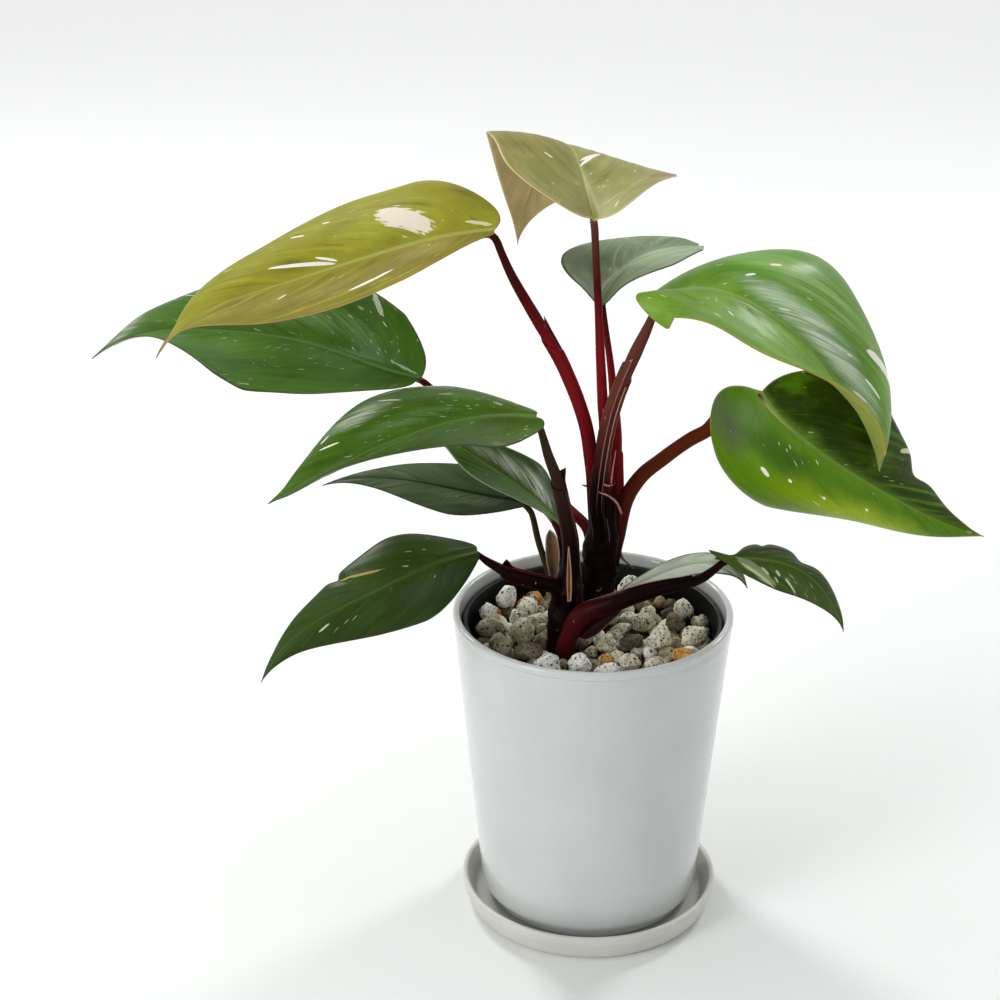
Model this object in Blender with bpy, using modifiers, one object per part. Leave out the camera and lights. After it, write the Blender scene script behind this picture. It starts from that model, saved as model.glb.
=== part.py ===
"""A potted philodendron: saucer, glazed pot, nursery pot, root ball, pumice, stems, stalks and blades.

Units are metres and angles are degrees. +Z is up, and the origin is the centre of the
saucer's flat underside, on the axis of the pots.
"""

import math
import random
from dataclasses import dataclass

import bmesh
import bpy
from mathutils import Vector

# ---- driving dimensions -------------------------------------------------

GAP = 0.0003  # between pieces that rest on each other

SAUCER_FOOT_RADIUS = 0.0572
SAUCER_RIM_RADIUS = 0.0611
SAUCER_HEIGHT = 0.0134
SAUCER_WALL = 0.0030
SAUCER_FLOOR = 0.0040

POT_RIM_RADIUS = 0.0650
POT_HEIGHT = 0.1500
POT_NECK_RADIUS = 0.0643  # the body just under the lip
POT_HEEL_RADIUS = 0.0512  # where the straight side meets the rounded heel
POT_HEEL_HEIGHT = 0.0080
POT_WALL = 0.0036
POT_FLOOR = 0.0055
POT_DRAIN_RADIUS = 0.0075

LINER_TOP_RADIUS = 0.0592
LINER_FOOT_RADIUS = 0.0425
LINER_RIM_DROP = 0.0045  # below the glazed pot's rim
LINER_WALL = 0.0010
LINER_LIP = 0.0009
LINER_DRAIN_RADIUS = 0.0050
LINER_HOLES = 6

SOIL_DROP = 0.0230  # from the nursery pot's rim to the soil
PUMICE_DEPTH = 0.0122
STEM_CLEARANCE = 0.0014  # round a stem, in the pumice

BLADE_THICKNESS = 0.0008
STALK_STANDOFF = 0.0013  # from the end of a stalk to the middle of its blade

TURN_STEPS = 40
BLADE_ROWS = 11
BLADE_COLUMNS = 6
STALK_POINTS = 9

# ---- levels that follow from them ---------------------------------------

POT_FOOT = SAUCER_FLOOR + GAP
POT_TOP = POT_FOOT + POT_HEIGHT
LINER_FOOT = POT_FOOT + POT_FLOOR + GAP
LINER_TOP = POT_TOP - LINER_RIM_DROP
SOIL_FOOT = LINER_FOOT + LINER_WALL + GAP
SOIL_TOP = LINER_TOP - SOIL_DROP
PUMICE_FOOT = SOIL_TOP + GAP
PUMICE_TOP = PUMICE_FOOT + PUMICE_DEPTH


# ---- leaves -------------------------------------------------------------


@dataclass
class Leaf:
    """One blade. Lists of angles run in even steps from the base to the tip.

    heading turns round +Z from +X, pitch is above level, and roll lifts the left side.
    fold and curl are (left, right): the angle at which each half leaves the midrib, and
    how far it then bends on its way to the margin.
    """

    base: tuple
    length: float
    half_width: float
    heading: tuple
    pitch: tuple
    roll: tuple
    fold: tuple
    curl: tuple
    lobe: float = 0.3  # share of the half width that is reached right at the base
    back: float = 115  # direction of the first vein, from the midrib's own direction
    full: float = 1.5  # over 1, the tip half is fuller
    widest: float = 0.3  # share of the length where the blade is widest
    shares: tuple = (1.0, 1.0)  # left and right half widths


LEAVES = {
    "upper_left": Leaf(
        (-0.046, 0.005, 0.335), 0.165, 0.048,
        heading=(178, 174, 177, 186, 187), pitch=(-5, -18, -19, -20, -58), roll=(-30, -47, -42, -12),
        fold=((28, 16, 12), (10, 5, -3)), curl=((25, 42, 20), (-60, -70, -40)),
        lobe=0.22, back=102, full=2.3, widest=0.20, shares=(1.0, 1.18),
    ),
    "crown": Leaf(
        (-0.002, 0.005, 0.340), 0.165, 0.044,
        heading=(98, 97, 115, 149), pitch=(14, 8, -42, -86), roll=(-2, 18, 16),
        fold=((30, 8, 11), (35, 4, 4)), curl=((9, -36, -24), (9, -47, -26)),
        lobe=0.38, back=129, full=1.6, widest=0.30,
    ),
    "back": Leaf(
        (0.004, 0.050, 0.286), 0.104, 0.029,
        heading=(81, 61, 55, 49), pitch=(7, 9, -8, -15), roll=(0, 0, 6),
        fold=((42, 16, 20), (41, 16, 15)), curl=((0, -27, -5), (6, -19, -5)),
        lobe=0.38, back=130, full=1.9, widest=0.31,
    ),
    "upper_right": Leaf(
        (0.026, -0.005, 0.308), 0.143, 0.052,
        heading=(366, 350, 362, 358, 336), pitch=(22, -20, -45, -56, -78), roll=(14, 42, 42, 13),
        fold=((-8, 20, 15), (3, 27, 20)), curl=((-55, -70, -33), (22, 42, 6)),
        lobe=0.5, back=108, full=2.3, widest=0.36, shares=(1.18, 0.98),
    ),
    "right": Leaf(
        (0.073, 0.001, 0.261), 0.130, 0.049,
        heading=(318, 350, 366, 372, 366), pitch=(-46, -36, -33, -30, -18), roll=(48, 68, 72, 52),
        fold=((6, -1, -1), (-5, -15, -8)), curl=((-22, -48, -35), (-58, -72, -50)),
        lobe=0.6, back=116, full=1.0, widest=0.35, shares=(0.96, 1.04),
    ),
    "lower_right": Leaf(
        (0.058, -0.019, 0.189), 0.071, 0.016,
        heading=(366, 358, 344, 338), pitch=(-2, -12, -46, -73), roll=(10, 20, 20),
        fold=((8, 0, 10), (16, 0, 10)), curl=((-16, -36, -15), (-9, -30, -10)),
        lobe=0.35, back=120, widest=0.33,
    ),
    "lower_left": Leaf(
        (-0.053, -0.030, 0.198), 0.123, 0.026,
        heading=(232, 216, 197, 208), pitch=(13, -8, -25, -60), roll=(-45, -40, -20),
        fold=((-10, -8, 4), (-3, -2, 7)), curl=((-40, -45, -20), (-40, -45, -20)),
        lobe=0.26, back=105, full=1.6, widest=0.28,
    ),
    "middle_left": Leaf(
        (-0.027, -0.020, 0.258), 0.127, 0.043,
        heading=(178, 199, 184, 180), pitch=(5, -8, -26, -31), roll=(-12, -23, -22),
        fold=((4, 22, 14), (-2, 20, 11)), curl=((10, 28, 4), (-50, -52, -25)),
        back=94, full=1.7, widest=0.19, shares=(1.0, 1.12),
    ),
    "far_left": Leaf(
        (-0.031, 0.030, 0.195), 0.098, 0.0165,
        heading=(169, 170, 172, 177), pitch=(2, 9, 1, -19), roll=(-18, -28, -21),
        fold=((16, 4, 10), (15, 5, 10)), curl=((-3, -14, -10), (-11, -20, -11)),
        back=105, full=1.35,
    ),
    "inner_left": Leaf(
        (-0.016, 0.015, 0.191), 0.090, 0.023,
        heading=(160, 145, 154, 159), pitch=(47, 20, 25, 14), roll=(20, 2, 8),
        fold=((15, 9, 10), (15, 17, 11)), curl=((-9, -9, -9), (-11, -10, -10)),
        back=100, full=1.2, widest=0.26,
    ),
    "outer_left": Leaf(
        (-0.080, 0.045, 0.251), 0.168, 0.044,
        heading=(142, 160, 194, 211, 205), pitch=(-4, 13, 12, 8, -30), roll=(-46, -44, -34, -4),
        fold=((34, 6, 25), (40, 6, 11)), curl=((40, 30, 17), (15, -27, -27)),
        lobe=0.45, back=96, full=1.45, widest=0.38, shares=(1.16, 0.88),
    ),
    "small": Leaf(
        (0.018, -0.006, 0.168), 0.070, 0.007,
        heading=(5, 0, 355, 348), pitch=(24, 15, -7, -32), roll=(32, 32, 24),
        fold=((10, 10, 8), (11, 11, 8)), curl=((-5, -10, -5), (-5, -10, -5)),
        lobe=0.25, full=1.8, widest=0.4,
    ),
}

BRACTS = {
    "left": Leaf(
        (-0.0181, 0.0028, 0.1674), 0.0235, 0.0040,
        heading=(120, 120, 120), pitch=(74, 74, 74), roll=(0, 0, 0),
        fold=((10, 12, 10), (10, 12, 10)), curl=((10, 16, 10), (10, 16, 10)),
        lobe=0.45, back=90, full=2.4, widest=0.45,
    ),
    "front": Leaf(
        (-0.0120, -0.0210, 0.1600), 0.026, 0.0022,
        heading=(100, 100, 100), pitch=(78, 84, 88), roll=(0, 0, 0),
        fold=((-8, -8, -8), (-8, -8, -8)), curl=((-10, -10, -10), (-10, -10, -10)),
        lobe=0.5, back=90, full=2.4, widest=0.4,
    ),
}

# Each stalk's route runs from its leaf down to the stem that it grows on.
# radii are at the leaf, a third of the way, two thirds of the way, and at the stem.
STALKS = {
    "upper_left": (
        ((-0.038, 0.005, 0.315), (-0.025, 0.006, 0.291), (-0.014, 0.007, 0.270),
         (-0.0065, 0.009, 0.245), (-0.0040, 0.0105, 0.222), (-0.0030, 0.0110, 0.2045)),
        (0.0016, 0.0029, 0.0031, 0.0030),
    ),
    "crown": (
        ((-0.001, 0.005, 0.322), (0.0005, 0.006, 0.298), (0.0015, 0.007, 0.280),
         (0.0030, 0.0085, 0.256), (0.0045, 0.0095, 0.230), (0.0046, 0.0095, 0.2045)),
        (0.0016, 0.0019, 0.0026, 0.0028),
    ),
    "back": (
        ((0.0055, 0.046, 0.275), (0.008, 0.039, 0.258), (0.010, 0.029, 0.237),
         (0.0108, 0.020, 0.218), (0.0108, 0.0145, 0.2045)),
        (0.0015, 0.0019, 0.0025, 0.0025),
    ),
    "upper_right": (
        ((0.0215, -0.004, 0.293), (0.017, -0.003, 0.282), (0.011, -0.0015, 0.266),
         (0.0065, 0.0005, 0.250), (0.0030, 0.0025, 0.228), (0.0012, 0.0030, 0.2042)),
        (0.0016, 0.0033, 0.0036, 0.0035),
    ),
    "right": (
        ((0.0708, 0.0100, 0.2565), (0.0640, 0.0165, 0.2460), (0.0530, 0.0205, 0.2355), (0.0435, 0.0205, 0.2300),
         (0.0327, 0.0180, 0.2222), (0.0235, 0.0150, 0.2145), (0.0170, 0.0128, 0.2030), (0.0134, 0.0116, 0.1860)),
        (0.0010, 0.0028, 0.0033, 0.0036),
    ),
    "outer_left": (
        ((-0.0740, 0.0475, 0.2440), (-0.0580, 0.0525, 0.2270), (-0.0400, 0.0535, 0.2095),
         (-0.0235, 0.0465, 0.1980), (-0.0120, 0.0310, 0.1920), (-0.0033, 0.0167, 0.1885)),
        (0.0015, 0.0020, 0.0023, 0.0024),
    ),
    "middle_left": (
        ((-0.0245, -0.0200, 0.250), (-0.0215, -0.019, 0.239), (-0.0175, -0.018, 0.227),
         (-0.0140, -0.0165, 0.211), (-0.0112, -0.0138, 0.196), (-0.0106, -0.0120, 0.1839)),
        (0.0016, 0.0031, 0.0036, 0.0042),
    ),
    "inner_left": (
        ((-0.0150, 0.0105, 0.185), (-0.0145, 0.0050, 0.179), (-0.0140, -0.0010, 0.173),
         (-0.0130, -0.0056, 0.1670)),
        (0.0014, 0.0015, 0.0015, 0.0015),
    ),
    "far_left": (
        ((-0.0278, 0.0270, 0.1890), (-0.0250, 0.0190, 0.1795), (-0.0210, 0.0100, 0.1700),
         (-0.0170, 0.0010, 0.1610), (-0.0143, -0.0057, 0.1548)),
        (0.0014, 0.0016, 0.0016, 0.0016),
    ),
    "lower_left": (
        ((-0.0485, -0.0245, 0.1900), (-0.0380, -0.0220, 0.1820), (-0.0280, -0.0180, 0.1755),
         (-0.0178, -0.0142, 0.1700)),
        (0.0011, 0.0030, 0.0036, 0.0036),
    ),
    "lower_right": (
        ((0.0535, -0.0205, 0.1840), (0.045, -0.0215, 0.1790), (0.030, -0.023, 0.1760), (0.016, -0.0235, 0.1725),
         (0.004, -0.0222, 0.1660), (-0.0060, -0.0169, 0.1608)),
        (0.0016, 0.0030, 0.0040, 0.0042),
    ),
    "small": (
        ((0.0140, -0.0068, 0.1655), (0.008, -0.0080, 0.1630), (0.001, -0.0095, 0.1610), (-0.0059, -0.0112, 0.1600)),
        (0.0011, 0.0012, 0.0013, 0.0013),
    ),
}

# Stems run up from the soil: route, and radii at the foot, a third, two thirds and the top.
STEMS = {
    "back_stem": (
        ((-0.0010, 0.0165, SOIL_TOP + 2 * GAP), (-0.0002, 0.0152, 0.152), (0.0020, 0.0115, 0.180),
         (0.0035, 0.0090, 0.2035)),
        (0.0066, 0.0068, 0.0072, 0.0082),
    ),
    "front_stem": (
        ((-0.0130, -0.0115, SOIL_TOP + 2 * GAP), (-0.0125, -0.0120, 0.150), (-0.0118, -0.0120, 0.166),
         (-0.0108, -0.0118, 0.1829)),
        (0.0062, 0.0060, 0.0056, 0.0052),
    ),
}

# Loose pumice that lies on the bed: x, y, half width, half depth, half height, turn.
STONES = (
    (-0.0395, 0.0325, 0.0056, 0.0052, 0.0058, 20),
    (-0.0480, 0.0180, 0.0052, 0.0042, 0.0046, 60),
    (-0.0475, 0.0030, 0.0068, 0.0055, 0.0054, 15),
    (-0.0345, 0.0130, 0.0046, 0.0044, 0.0046, 80),
    (-0.0300, 0.0260, 0.0050, 0.0042, 0.0044, 150),
    (-0.0330, -0.0035, 0.0062, 0.0058, 0.0064, 110),
    (-0.0425, -0.0180, 0.0056, 0.0054, 0.0062, 40),
    (-0.0300, -0.0225, 0.0068, 0.0046, 0.0046, 170),
    (-0.0215, -0.0350, 0.0064, 0.0050, 0.0052, 10),
    (-0.0070, -0.0345, 0.0050, 0.0056, 0.0052, 100),
    (0.0040, -0.0420, 0.0054, 0.0044, 0.0042, 0),
    (0.0165, -0.0440, 0.0056, 0.0042, 0.0042, 170),
    (0.0280, -0.0370, 0.0062, 0.0050, 0.0046, 30),
    (0.0155, -0.0320, 0.0054, 0.0042, 0.0044, 15),
    (0.0055, -0.0130, 0.0046, 0.0042, 0.0050, 120),
    (0.0180, -0.0100, 0.0058, 0.0040, 0.0042, 5),
    (0.0315, -0.0110, 0.0056, 0.0052, 0.0062, 60),
    (0.0240, 0.0080, 0.0062, 0.0042, 0.0044, 175),
    (0.0380, 0.0065, 0.0056, 0.0044, 0.0050, 20),
    (0.0440, 0.0225, 0.0052, 0.0046, 0.0054, 70),
    (0.0465, -0.0080, 0.0068, 0.0050, 0.0054, 25),
    (0.0400, -0.0260, 0.0054, 0.0048, 0.0046, 165),
    (0.0190, 0.0430, 0.0070, 0.0052, 0.0060, 165),
    (-0.0130, 0.0400, 0.0058, 0.0050, 0.0050, 35),
)
STONE_SEED = 11

# Colour, roughness and metallic value of each finish.
FINISHES = {
    "glazed_grey": ((0.60, 0.61, 0.58), 0.15, 0.0),
    "saucer_grey": ((0.58, 0.58, 0.53), 0.45, 0.0),
    "black_plastic": ((0.015, 0.015, 0.016), 0.4, 0.0),
    "soil": ((0.045, 0.030, 0.020), 0.95, 0.0),
    "pumice": ((0.50, 0.45, 0.37), 0.9, 0.0),
    "stem_maroon": ((0.050, 0.010, 0.012), 0.35, 0.0),
    "stalk_red": ((0.210, 0.016, 0.020), 0.35, 0.0),
    "stalk_brown": ((0.110, 0.025, 0.016), 0.35, 0.0),
    "leaf_bronze": ((0.260, 0.230, 0.030), 0.35, 0.0),
    "leaf_bright": ((0.090, 0.240, 0.022), 0.3, 0.0),
    "leaf_green": ((0.030, 0.120, 0.020), 0.3, 0.0),
    "leaf_dark": ((0.016, 0.050, 0.016), 0.3, 0.0),
    "papery_tan": ((0.300, 0.170, 0.080), 0.7, 0.0),
}
BLADE_FINISH = {
    "upper_left": "leaf_bronze", "crown": "leaf_bronze", "upper_right": "leaf_bright", "right": "leaf_bright",
    "outer_left": "leaf_green", "middle_left": "leaf_green", "inner_left": "leaf_green", "back": "leaf_green",
    "far_left": "leaf_dark", "lower_left": "leaf_dark", "lower_right": "leaf_dark", "small": "leaf_dark",
}
STALK_FINISH = {
    "upper_left": "stalk_red", "crown": "stalk_red", "back": "stalk_red", "outer_left": "stalk_red",
    "upper_right": "stalk_brown", "right": "stalk_brown", "middle_left": "stalk_brown",
    "inner_left": "stalk_brown", "far_left": "stalk_brown", "lower_left": "stem_maroon",
    "lower_right": "stem_maroon", "small": "stem_maroon",
}


# ---- shared tools -------------------------------------------------------


def clear_scene():
    for obj in list(bpy.data.objects):
        bpy.data.objects.remove(obj, do_unlink=True)


def new_collection(name):
    collection = bpy.data.collections.new(name)
    bpy.context.scene.collection.children.link(collection)
    return collection


def give_material(obj, finish):
    colour, roughness, metallic = FINISHES[finish]
    material = bpy.data.materials.new(f"{obj.name}_{finish}")
    material.use_nodes = True
    shader = material.node_tree.nodes["Principled BSDF"]
    shader.inputs["Base Color"].default_value = (*colour, 1.0)
    shader.inputs["Roughness"].default_value = roughness
    shader.inputs["Metallic"].default_value = metallic
    obj.data.materials.append(material)


def add_mesh(name, bm, finish, collection):
    mesh = bpy.data.meshes.new(name)
    bm.to_mesh(mesh)
    bm.free()
    obj = bpy.data.objects.new(name, mesh)
    collection.objects.link(obj)
    if finish:
        give_material(obj, finish)
    return obj


def along(values, u):
    """A smooth run (Catmull-Rom) through evenly spaced values, read at u from 0 to 1."""
    spans = len(values) - 1
    place = min(max(u, 0.0), 1.0) * spans
    i = min(int(place), spans - 1)
    f = place - i
    b, c = values[i], values[i + 1]
    a = values[i - 1] if i else 2 * b - c
    d = values[i + 2] if i + 2 <= spans else 2 * c - b
    return b + 0.5 * f * (c - a + f * (2 * a - 5 * b + 4 * c - d + f * (3 * (b - c) + d - a)))


def arc(centre_x, centre_z, radius, start, end, steps):
    """Points on an arc of a profile, from angle start to end, both included."""
    angles = [math.radians(start + (end - start) * i / steps) for i in range(steps + 1)]
    return [(centre_x + radius * math.cos(a), centre_z + radius * math.sin(a)) for a in angles]


# ---- turned pieces ------------------------------------------------------


def add_turned(name, profile, closed, finish, collection):
    """Turns a profile of (radius, height) points round Z. It runs down its outer side."""
    bm = bmesh.new()
    points = [bm.verts.new((x, 0, z)) for x, z in profile]
    for a, b in zip(points, points[1:]):
        bm.edges.new((a, b))
    if closed:
        bm.edges.new((points[-1], points[0]))
    obj = add_mesh(name, bm, finish, collection)
    screw = obj.modifiers.new("Turn", "SCREW")
    screw.steps = TURN_STEPS
    screw.render_steps = TURN_STEPS
    screw.use_merge_vertices = True
    screw.merge_threshold = 0.0001
    screw.use_smooth_shade = True
    return obj


def add_saucer(collection):
    lip = SAUCER_WALL / 2
    rim_x = SAUCER_RIM_RADIUS - lip
    inner_foot = SAUCER_FOOT_RADIUS - SAUCER_WALL
    profile = [(0, SAUCER_FLOOR), (inner_foot, SAUCER_FLOOR)]
    profile += arc(rim_x, SAUCER_HEIGHT - lip, lip, 180, 0, 4)
    profile += [(SAUCER_FOOT_RADIUS + 0.0006, 0.0010), (SAUCER_FOOT_RADIUS, 0), (0, 0)]
    return add_turned("saucer", profile, False, "saucer_grey", collection)


def add_glazed_pot(collection):
    lip = POT_WALL / 2
    heel_z = POT_FOOT + POT_HEEL_HEIGHT
    floor_z = POT_FOOT + POT_FLOOR
    profile = [(POT_DRAIN_RADIUS, floor_z), (POT_HEEL_RADIUS - POT_WALL - 0.004, floor_z)]
    profile += [(POT_HEEL_RADIUS - POT_WALL, heel_z + 0.002)]
    profile += [(POT_NECK_RADIUS - POT_WALL, POT_TOP - 2 * POT_WALL)]
    profile += arc(POT_RIM_RADIUS - lip, POT_TOP - lip, lip, 180, -30, 5)
    profile += [(POT_NECK_RADIUS, POT_TOP - POT_WALL)]
    corner_x = POT_HEEL_RADIUS - POT_HEEL_HEIGHT
    profile += arc(corner_x, heel_z, POT_HEEL_HEIGHT, 0, -90, 4)
    profile += [(POT_DRAIN_RADIUS, POT_FOOT)]
    return add_turned("glazed_pot", profile, True, "glazed_grey", collection)


def liner_radius(height):
    """Outside radius of the nursery pot's side at a height."""
    share = (height - LINER_FOOT) / (LINER_TOP - LINER_FOOT)
    return LINER_FOOT_RADIUS + (LINER_TOP_RADIUS - LINER_FOOT_RADIUS) * share


def add_nursery_pot(collection, cutters):
    floor_z = LINER_FOOT + LINER_WALL
    inner_foot = liner_radius(floor_z) - LINER_WALL
    rim_under = LINER_TOP - 2 * LINER_WALL
    profile = [(LINER_DRAIN_RADIUS, floor_z), (inner_foot, floor_z), (LINER_TOP_RADIUS - LINER_WALL, LINER_TOP)]
    profile += [(LINER_TOP_RADIUS + LINER_LIP, LINER_TOP), (LINER_TOP_RADIUS + LINER_LIP, rim_under)]
    profile += [(liner_radius(rim_under), rim_under), (LINER_FOOT_RADIUS, LINER_FOOT)]
    profile += [(LINER_DRAIN_RADIUS, LINER_FOOT)]
    pot = add_turned("nursery_pot", profile, True, "black_plastic", collection)
    for i in range(LINER_HOLES):
        angle = math.tau * i / LINER_HOLES
        ring = 0.65 * LINER_FOOT_RADIUS
        place = Vector((ring * math.cos(angle), ring * math.sin(angle), LINER_FOOT))
        cut_round_hole(pot, f"drain_cutter_{i + 1}", place, LINER_DRAIN_RADIUS, 0.01, cutters)
    return pot


def cut_round_hole(obj, name, place, radius, depth, cutters):
    """Cuts a vertical hole with its middle at place."""
    bm = bmesh.new()
    bmesh.ops.create_cone(bm, cap_ends=True, segments=16, radius1=radius, radius2=radius, depth=depth)
    bmesh.ops.translate(bm, verts=bm.verts, vec=place)
    cutter = add_mesh(name, bm, None, cutters)
    cutter.hide_render = True
    cutter.display_type = "WIRE"
    hole = obj.modifiers.new(name, "BOOLEAN")
    hole.operation = "DIFFERENCE"
    hole.object = cutter
    return cutter


def add_fill(name, low, high, finish, collection):
    """A plug that fills the nursery pot between two heights."""
    bm = bmesh.new()
    bmesh.ops.create_cone(
        bm, cap_ends=True, segments=TURN_STEPS, depth=high - low,
        radius1=liner_radius(low) - LINER_WALL - GAP, radius2=liner_radius(high) - LINER_WALL - GAP,
    )
    bmesh.ops.translate(bm, verts=bm.verts, vec=(0, 0, (low + high) / 2))
    return add_mesh(name, bm, finish, collection)


# ---- pumice -------------------------------------------------------------


def add_stone(name, stone, rng, collection):
    """A rounded, faceted lump, flattened where it lies on the bed."""
    x, y, half_width, half_depth, half_height, turn = stone
    bm = bmesh.new()
    bmesh.ops.create_icosphere(bm, subdivisions=2, radius=1)
    for vert in bm.verts:
        vert.co *= rng.uniform(0.88, 1.0)
        vert.co.z = max(vert.co.z, -0.75)
    cos, sin = math.cos(math.radians(turn)), math.sin(math.radians(turn))
    lift = PUMICE_TOP + GAP - half_height * min(vert.co.z for vert in bm.verts)
    for vert in bm.verts:
        across, deep = vert.co.x * half_width, vert.co.y * half_depth
        vert.co = (x + across * cos - deep * sin, y + across * sin + deep * cos, lift + vert.co.z * half_height)
    return add_mesh(name, bm, "pumice", collection)


# ---- stems and stalks ---------------------------------------------------


def smooth_route(points, count):
    """Evenly read points on one smooth curve through the route's own points."""
    axes = list(zip(*points))
    return [Vector([along(axis, i / (count - 1)) for axis in axes]) for i in range(count)]


def add_tube(name, route, radii, finish, collection):
    """A round tube whose radius changes smoothly along its route."""
    curve = bpy.data.curves.new(name, "CURVE")
    curve.dimensions = "3D"
    curve.bevel_depth = 1.0
    curve.bevel_resolution = 2
    curve.use_fill_caps = True
    points = smooth_route(route, STALK_POINTS)
    spline = curve.splines.new("POLY")
    spline.points.add(len(points) - 1)
    for i, (point, place) in enumerate(zip(spline.points, points)):
        point.co = (*place, 1)
        point.radius = along(radii, i / (len(points) - 1))
    obj = bpy.data.objects.new(name, curve)
    collection.objects.link(obj)
    give_material(obj, finish)
    return obj


def add_stalk(name, collection):
    route, radii = STALKS[name]
    base = Vector(LEAVES[name].base)
    reach = base - Vector(route[0])
    top = base - reach.normalized() * STALK_STANDOFF
    return add_tube(f"stalk_{name}", (tuple(top), *route), radii, STALK_FINISH[name], collection)


# ---- blades -------------------------------------------------------------

MIDRIB_STEPS = 60


def midrib_frames(leaf):
    """The midrib in even steps: (point, direction, left, up) at each."""
    frames, point, last = [], Vector(leaf.base), None
    for i in range(MIDRIB_STEPS + 1):
        u = i / MIDRIB_STEPS
        heading, pitch, roll = (math.radians(along(a, u)) for a in (leaf.heading, leaf.pitch, leaf.roll))
        ahead = Vector((math.cos(heading) * math.cos(pitch), math.sin(heading) * math.cos(pitch), math.sin(pitch)))
        level = Vector((-math.sin(heading), math.cos(heading), 0))
        upward = ahead.cross(level)
        left = level * math.cos(roll) + upward * math.sin(roll)
        up = upward * math.cos(roll) - level * math.sin(roll)
        if last:
            point = point + (ahead + last) * (leaf.length / MIDRIB_STEPS / 2)
        frames.append((point, ahead, left, up))
        last = ahead
    return frames


def frame_at(frames, u):
    place = u * MIDRIB_STEPS
    i = min(int(place), MIDRIB_STEPS - 1)
    return [a.lerp(b, place - i) for a, b in zip(frames[i], frames[i + 1])]


def blade_reach(leaf, u):
    """Share of the half width that the veins starting at u reach."""
    x = min(u / leaf.widest, 1)
    rise = 0.4 * math.sqrt(x * (2 - x)) + 0.6 * x * x * (3 - 2 * x)
    fall = max((u - leaf.widest) / (1 - leaf.widest), 0)
    return (leaf.lobe + (1 - leaf.lobe) * rise) * (1 - fall**leaf.full) ** 1.25


TIP_VEIN_ANGLE = 38


def blade_point(leaf, frames, u, s):
    """A point of the blade: u from base to tip, s from -1 (right margin) to 1 (left margin)."""
    side = 0 if s > 0 else 1
    middle, ahead, left, up = frame_at(frames, u)
    reach = leaf.half_width * leaf.shares[side] * blade_reach(leaf, u)
    vein = math.radians(leaf.back + (TIP_VEIN_ANGLE - leaf.back) * (1 - (1 - u) ** 1.6))
    fold = math.radians(along(leaf.fold[side], u))
    curl = math.radians(along(leaf.curl[side], u)) or 1e-4
    out = reach / curl * (math.sin(fold + curl * abs(s)) - math.sin(fold))
    lift = reach / curl * (math.cos(fold) - math.cos(fold + curl * abs(s)))
    sideways = left if s > 0 else -left
    return middle + out * (math.cos(vein) * ahead + math.sin(vein) * sideways) + lift * up


def add_blade(name, leaf, finish, collection, rows=BLADE_ROWS, columns=BLADE_COLUMNS):
    """A thin curved sheet, given its thickness by Solidify."""
    frames = midrib_frames(leaf)
    bm = bmesh.new()
    bmesh.ops.create_grid(bm, x_segments=columns, y_segments=rows, size=1)
    for vert in bm.verts:
        u = (1 - math.cos(math.pi * (vert.co.y + 1) / 2)) / 2
        vert.co = blade_point(leaf, frames, min(max(u, 0), 1), vert.co.x)
    bmesh.ops.remove_doubles(bm, verts=bm.verts, dist=0.00001)
    obj = add_mesh(name, bm, finish, collection)
    obj.data.shade_smooth()
    shell = obj.modifiers.new("Thickness", "SOLIDIFY")
    shell.thickness = BLADE_THICKNESS
    shell.offset = 0
    return obj


# ---- the whole plant ----------------------------------------------------


def build():
    clear_scene()
    plant = new_collection("potted_philodendron")
    cutters = new_collection("cutters")
    cutters.hide_render = True

    add_saucer(plant)
    add_glazed_pot(plant)
    add_nursery_pot(plant, cutters)
    add_fill("root_ball", SOIL_FOOT, SOIL_TOP, "soil", plant)
    bed = add_fill("pumice_bed", PUMICE_FOOT, PUMICE_TOP, "pumice", plant)

    for name, (route, radii) in STEMS.items():
        add_tube(name, route, radii, "stem_maroon", plant)
        place = Vector((*route[0][:2], PUMICE_FOOT + PUMICE_DEPTH / 2))
        cut_round_hole(bed, f"{name}_cutter", place, radii[0] + STEM_CLEARANCE, 0.03, cutters)

    rng = random.Random(STONE_SEED)
    for i, stone in enumerate(STONES):
        add_stone(f"pumice_stone_{i + 1:02d}", stone, rng, plant)

    for name, leaf in LEAVES.items():
        add_blade(f"blade_{name}", leaf, BLADE_FINISH[name], plant)
        add_stalk(name, plant)
    for name, bract in BRACTS.items():
        add_blade(f"bract_{name}", bract, "papery_tan", plant, rows=6, columns=4)


build()
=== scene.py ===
"""The looks of a potted philodendron: leaves, stalks, stems, pumice, nursery pot, glazed pot and saucer.

Units are metres. The tables of shapes are in millimetres, which metres() turns into metres, and their
angles are in degrees. +Z is up, and the origin is the centre of the saucer's flat underside, on the
axis of the pots.
"""

import math
import random
from dataclasses import dataclass

import bmesh
import bpy
from mathutils import Matrix, Vector, kdtree, noise


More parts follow.
